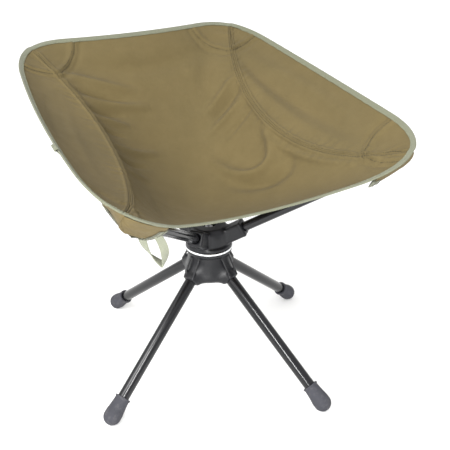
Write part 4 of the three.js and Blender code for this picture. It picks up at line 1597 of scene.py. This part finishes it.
def seam_rows():
    """Rows of stitches on both sides of each seam, on the panel and on the wing."""
    rows = []
    panel_up = grid_normals(panel_points)
    for column in (SEAM_ROW_COLUMN, -1 - SEAM_ROW_COLUMN):
        rows.append((panel_points[2:-2, column] + panel_up[2:-2, column] * CLOTH / 2, panel_up[2:-2, column]))
    for side, (_, points) in wings.items():
        up = grid_normals(points)
        column = SEAM_ROW_COLUMN if side == "right" else -1 - SEAM_ROW_COLUMN
        rows.append((points[8:-8, column] + up[8:-8, column] * CLOTH / 2, up[8:-8, column]))
    return rows


def arc_rows():
    """Two rows of stitches along the line where each pocket is sewn on."""
    rows = []
    grids = [panel_points, wings["left"][1], wings["right"][1]]
    cloth = np.vstack([grid.reshape(-1, 3) for grid in grids])
    normals = np.vstack([grid_normals(grid).reshape(-1, 3) for grid in grids])
    for path in ARCS.values():
        line = evenly(path, 3.0)[0]
        nearest = np.argmin(np.linalg.norm(line[:, None] - cloth[None], axis=-1), axis=1)
        up = smoothed(normals[nearest], 2, closed=False)
        height = ((cloth[nearest] - line) * up).sum(-1, keepdims=True)
        line = line + up * (smoothed(height, 1, closed=False) + CLOTH / 2)
        side = unit(np.cross(headings(line), up))
        rows += [(line + side * offset, up) for offset in ARC_ROWS]
    return rows


# ---- pockets, pull loop and side tab --------------------------------------------------------

POCKET_ROWS, POCKET_COLUMNS = 46, 64
POCKET_SEEDS = {"front": 0, "back": 4}


def pocket_point(end, a, b):
    """A right-hand pocket: a runs from the corner to the mouth, b from the end edge to the side."""
    front = end == "front"
    root, way, length = pole_axis(f"{end}_right")
    reach = a * POCKET_ANCHOR
    drop = UP * POCKET_DROP
    on_end = rim_point("front", 1 - reach) if front else rim_point("back", reach)
    side_reach = reach * POCKET_SIDE_SHARE
    on_side = rim_point("right", side_reach if front else 1 - side_reach)
    station = length + POCKET_NOSE - a * (POCKET_NOSE + POCKET_REACH)
    across = unit(np.cross(UP, way))
    depth = POLE_RADIUS + 1 + POCKET_CLEARANCE + POCKET_SLACK * a * a
    under = root + station[..., None] * way + depth[..., None] * np.cross(across, way)
    corner = rim_point("right", 0.0 if front else 1.0) - drop
    bottom = corner + (under - corner) * (1 - (1 - a) ** POCKET_CLOSING)[..., None]
    on_end = on_end + np.array([0, POCKET_TUCK if front else -POCKET_TUCK, 0]) * (a[..., None] > 0)
    on_side = on_side - np.array([POCKET_TUCK, 0, 0])
    control = 2 * bottom - (on_end + on_side) / 2 + drop
    b = b[..., None]
    return (1 - b) ** 2 * (on_end - drop) + 2 * b * (1 - b) * control + b * b * (on_side - drop)


def pocket_wrinkles(a, b, seed):
    """Creases that run from the closed end to the mouth, deepest half way down each side."""
    crease = wander(b + 0.12 * a, 0.21, seed) + 0.5 * wander(b - 0.2 * a, 0.09, seed + 3)
    return 1.5 * crease * np.sin(math.pi * b) * np.clip(a * 3, 0, 1) * np.clip(4 - 3.9 * a, 0, 1)


def make_pocket(end, side):
    """A pocket's cloth with the bound hem at its mouth and the hem's stitches."""
    hand = 1 if side == "right" else -1
    a, b = np.meshgrid(np.linspace(0.015, 1, POCKET_ROWS), np.linspace(0, 1, POCKET_COLUMNS), indexing="ij")
    plain = pocket_point(end, a, b) * (hand, 1, 1)
    out = grid_normals(plain)
    if out[-1, POCKET_COLUMNS // 2, 2] > 0:
        out = -out
    seed = POCKET_SEEDS[end] + hand
    points = plain + out * np.maximum(pocket_wrinkles(a, b, seed), -2.0)[..., None]
    across = row_distances(points)
    name = f"pocket_{end}_{side}"
    uv = np.stack([across, a * POCKET_LENGTH], -1).reshape(-1, 2) * MM
    cloth = make_sheet(f"{name}_cloth", points, uv, name)
    # The mouth is bound with the same tape as the rim.
    keep = slice(HEM_TRIM, -HEM_TRIM)
    back = square_to(headings(points[-1]), points[-3] - points[-1])[keep]
    mouth, face = points[-1, keep], out[-1, keep]
    profile = folded_tape(HEM_WIDTH, HEM_GAP, TAPE_THICKNESS, HEM_NOSE)
    hem = make_tape(f"{name}_hem", mouth, back, face, profile,
                    binding_tape, "seat", across[-1, keep])
    rows = []
    for offset in HEM_ROWS:
        for lift in (face, -face):
            rows.append((mouth + back * offset + lift * (HEM_GAP + TAPE_THICKNESS), lift))
    stitching = make_thread(f"{name}_stitches", rows, thread)
    length = float(row_distances(plain.swapaxes(0, 1))[:, -1].max()) * MM


def make_pull_loop():
    """A strap sewn on flat at both ends, that turns edge on where it doubles back at the bottom."""
    top, bottom = np.array(LOOP_TOP, float), np.array(LOOP_BOTTOM, float)
    up = unit(top - bottom)
    level = np.array([-top[1], top[0], 0.0])
    across = unit(level - up * (level @ up))
    face = np.cross(across, up)
    around = np.linspace(0, 1, 81)
    share = 1 - np.abs(1 - 2 * around)
    hand = np.where(around < 0.5, -1, 1)
    half = LOOP_STRAP / 2
    spread = (LOOP_HALF_WIDTH - half) * (1 - share**2.6) + LOOP_SWELL * np.sin(math.pi * share)
    rise = np.where(hand < 0, *LOOP_RISE)
    down = (np.linalg.norm(top - bottom) - LOOP_LIFT + rise) * share - rise
    line = top + across * (LOOP_ASIDE + hand * spread)[:, None] - up * down[:, None]
    line = smoothed(line, 2, closed=False)
    turn = math.pi / 2 * np.clip(share, 0, 1) ** 1.4
    turn = np.where(hand < 0, turn, math.pi - turn)
    way = headings(line)
    width_way = square_to(way, across * np.cos(turn)[:, None] + face * np.sin(turn)[:, None])
    strap = make_tape("pull_loop_strap", line, width_way, np.cross(way, width_way),
                      flat_tape(LOOP_STRAP, LOOP_THICKNESS),
                      loop_webbing, "pull_loop", distances(line))
    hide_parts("pull_loop")


def make_side_tab():
    """A short tape folded over the binding, with its ends hanging outside and its fold below."""
    place = rim_point("left", TAB_PLACE)
    index = int(np.argmin(np.linalg.norm(RIM_POINTS - place, axis=1)))
    inward, up = RIM_INWARD[index], RIM_UP[index]
    way = unit(np.cross(inward, up))
    thick = TAPE_GAP + TAPE_THICKNESS
    turns = (
        (TAPE_WIDTH, thick + 0.6), (1.0, thick + 0.6), (-1.6, 1.4), (-2.3, -0.6), (-2.6, -2.4), (-2.4, -3.6),
        (-1.7, -3.8), (-1.2, -3.2), (-0.4, -thick - 1.0), (1.0, -thick - 0.7), (TAPE_WIDTH, -thick - 0.6),
    )
    knots = np.array([place + inward * a + up * b for a, b in turns])
    steps = np.linspace(0, len(knots) - 1, 60)
    line = cubic(knots[None], steps[None])[0]
    width_way = np.broadcast_to(way, line.shape)
    tab = make_tape("side_tab_tape", line, width_way, np.cross(width_way, headings(line)),
                    flat_tape(TAB_WIDTH, TAB_THICKNESS),
                    binding_tape, "seat", distances(line))
    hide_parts("side_tab")


binding_pieces = make_binding()
seam_thread = make_thread("seam_stitches", seam_rows(), thread)
corner_thread = make_thread("corner_stitches", arc_rows(), thread)
for end_name in ("front", "back"):
    for side_name in ("left", "right"):
        make_pocket(end_name, side_name)
make_pull_loop()
make_side_tab()
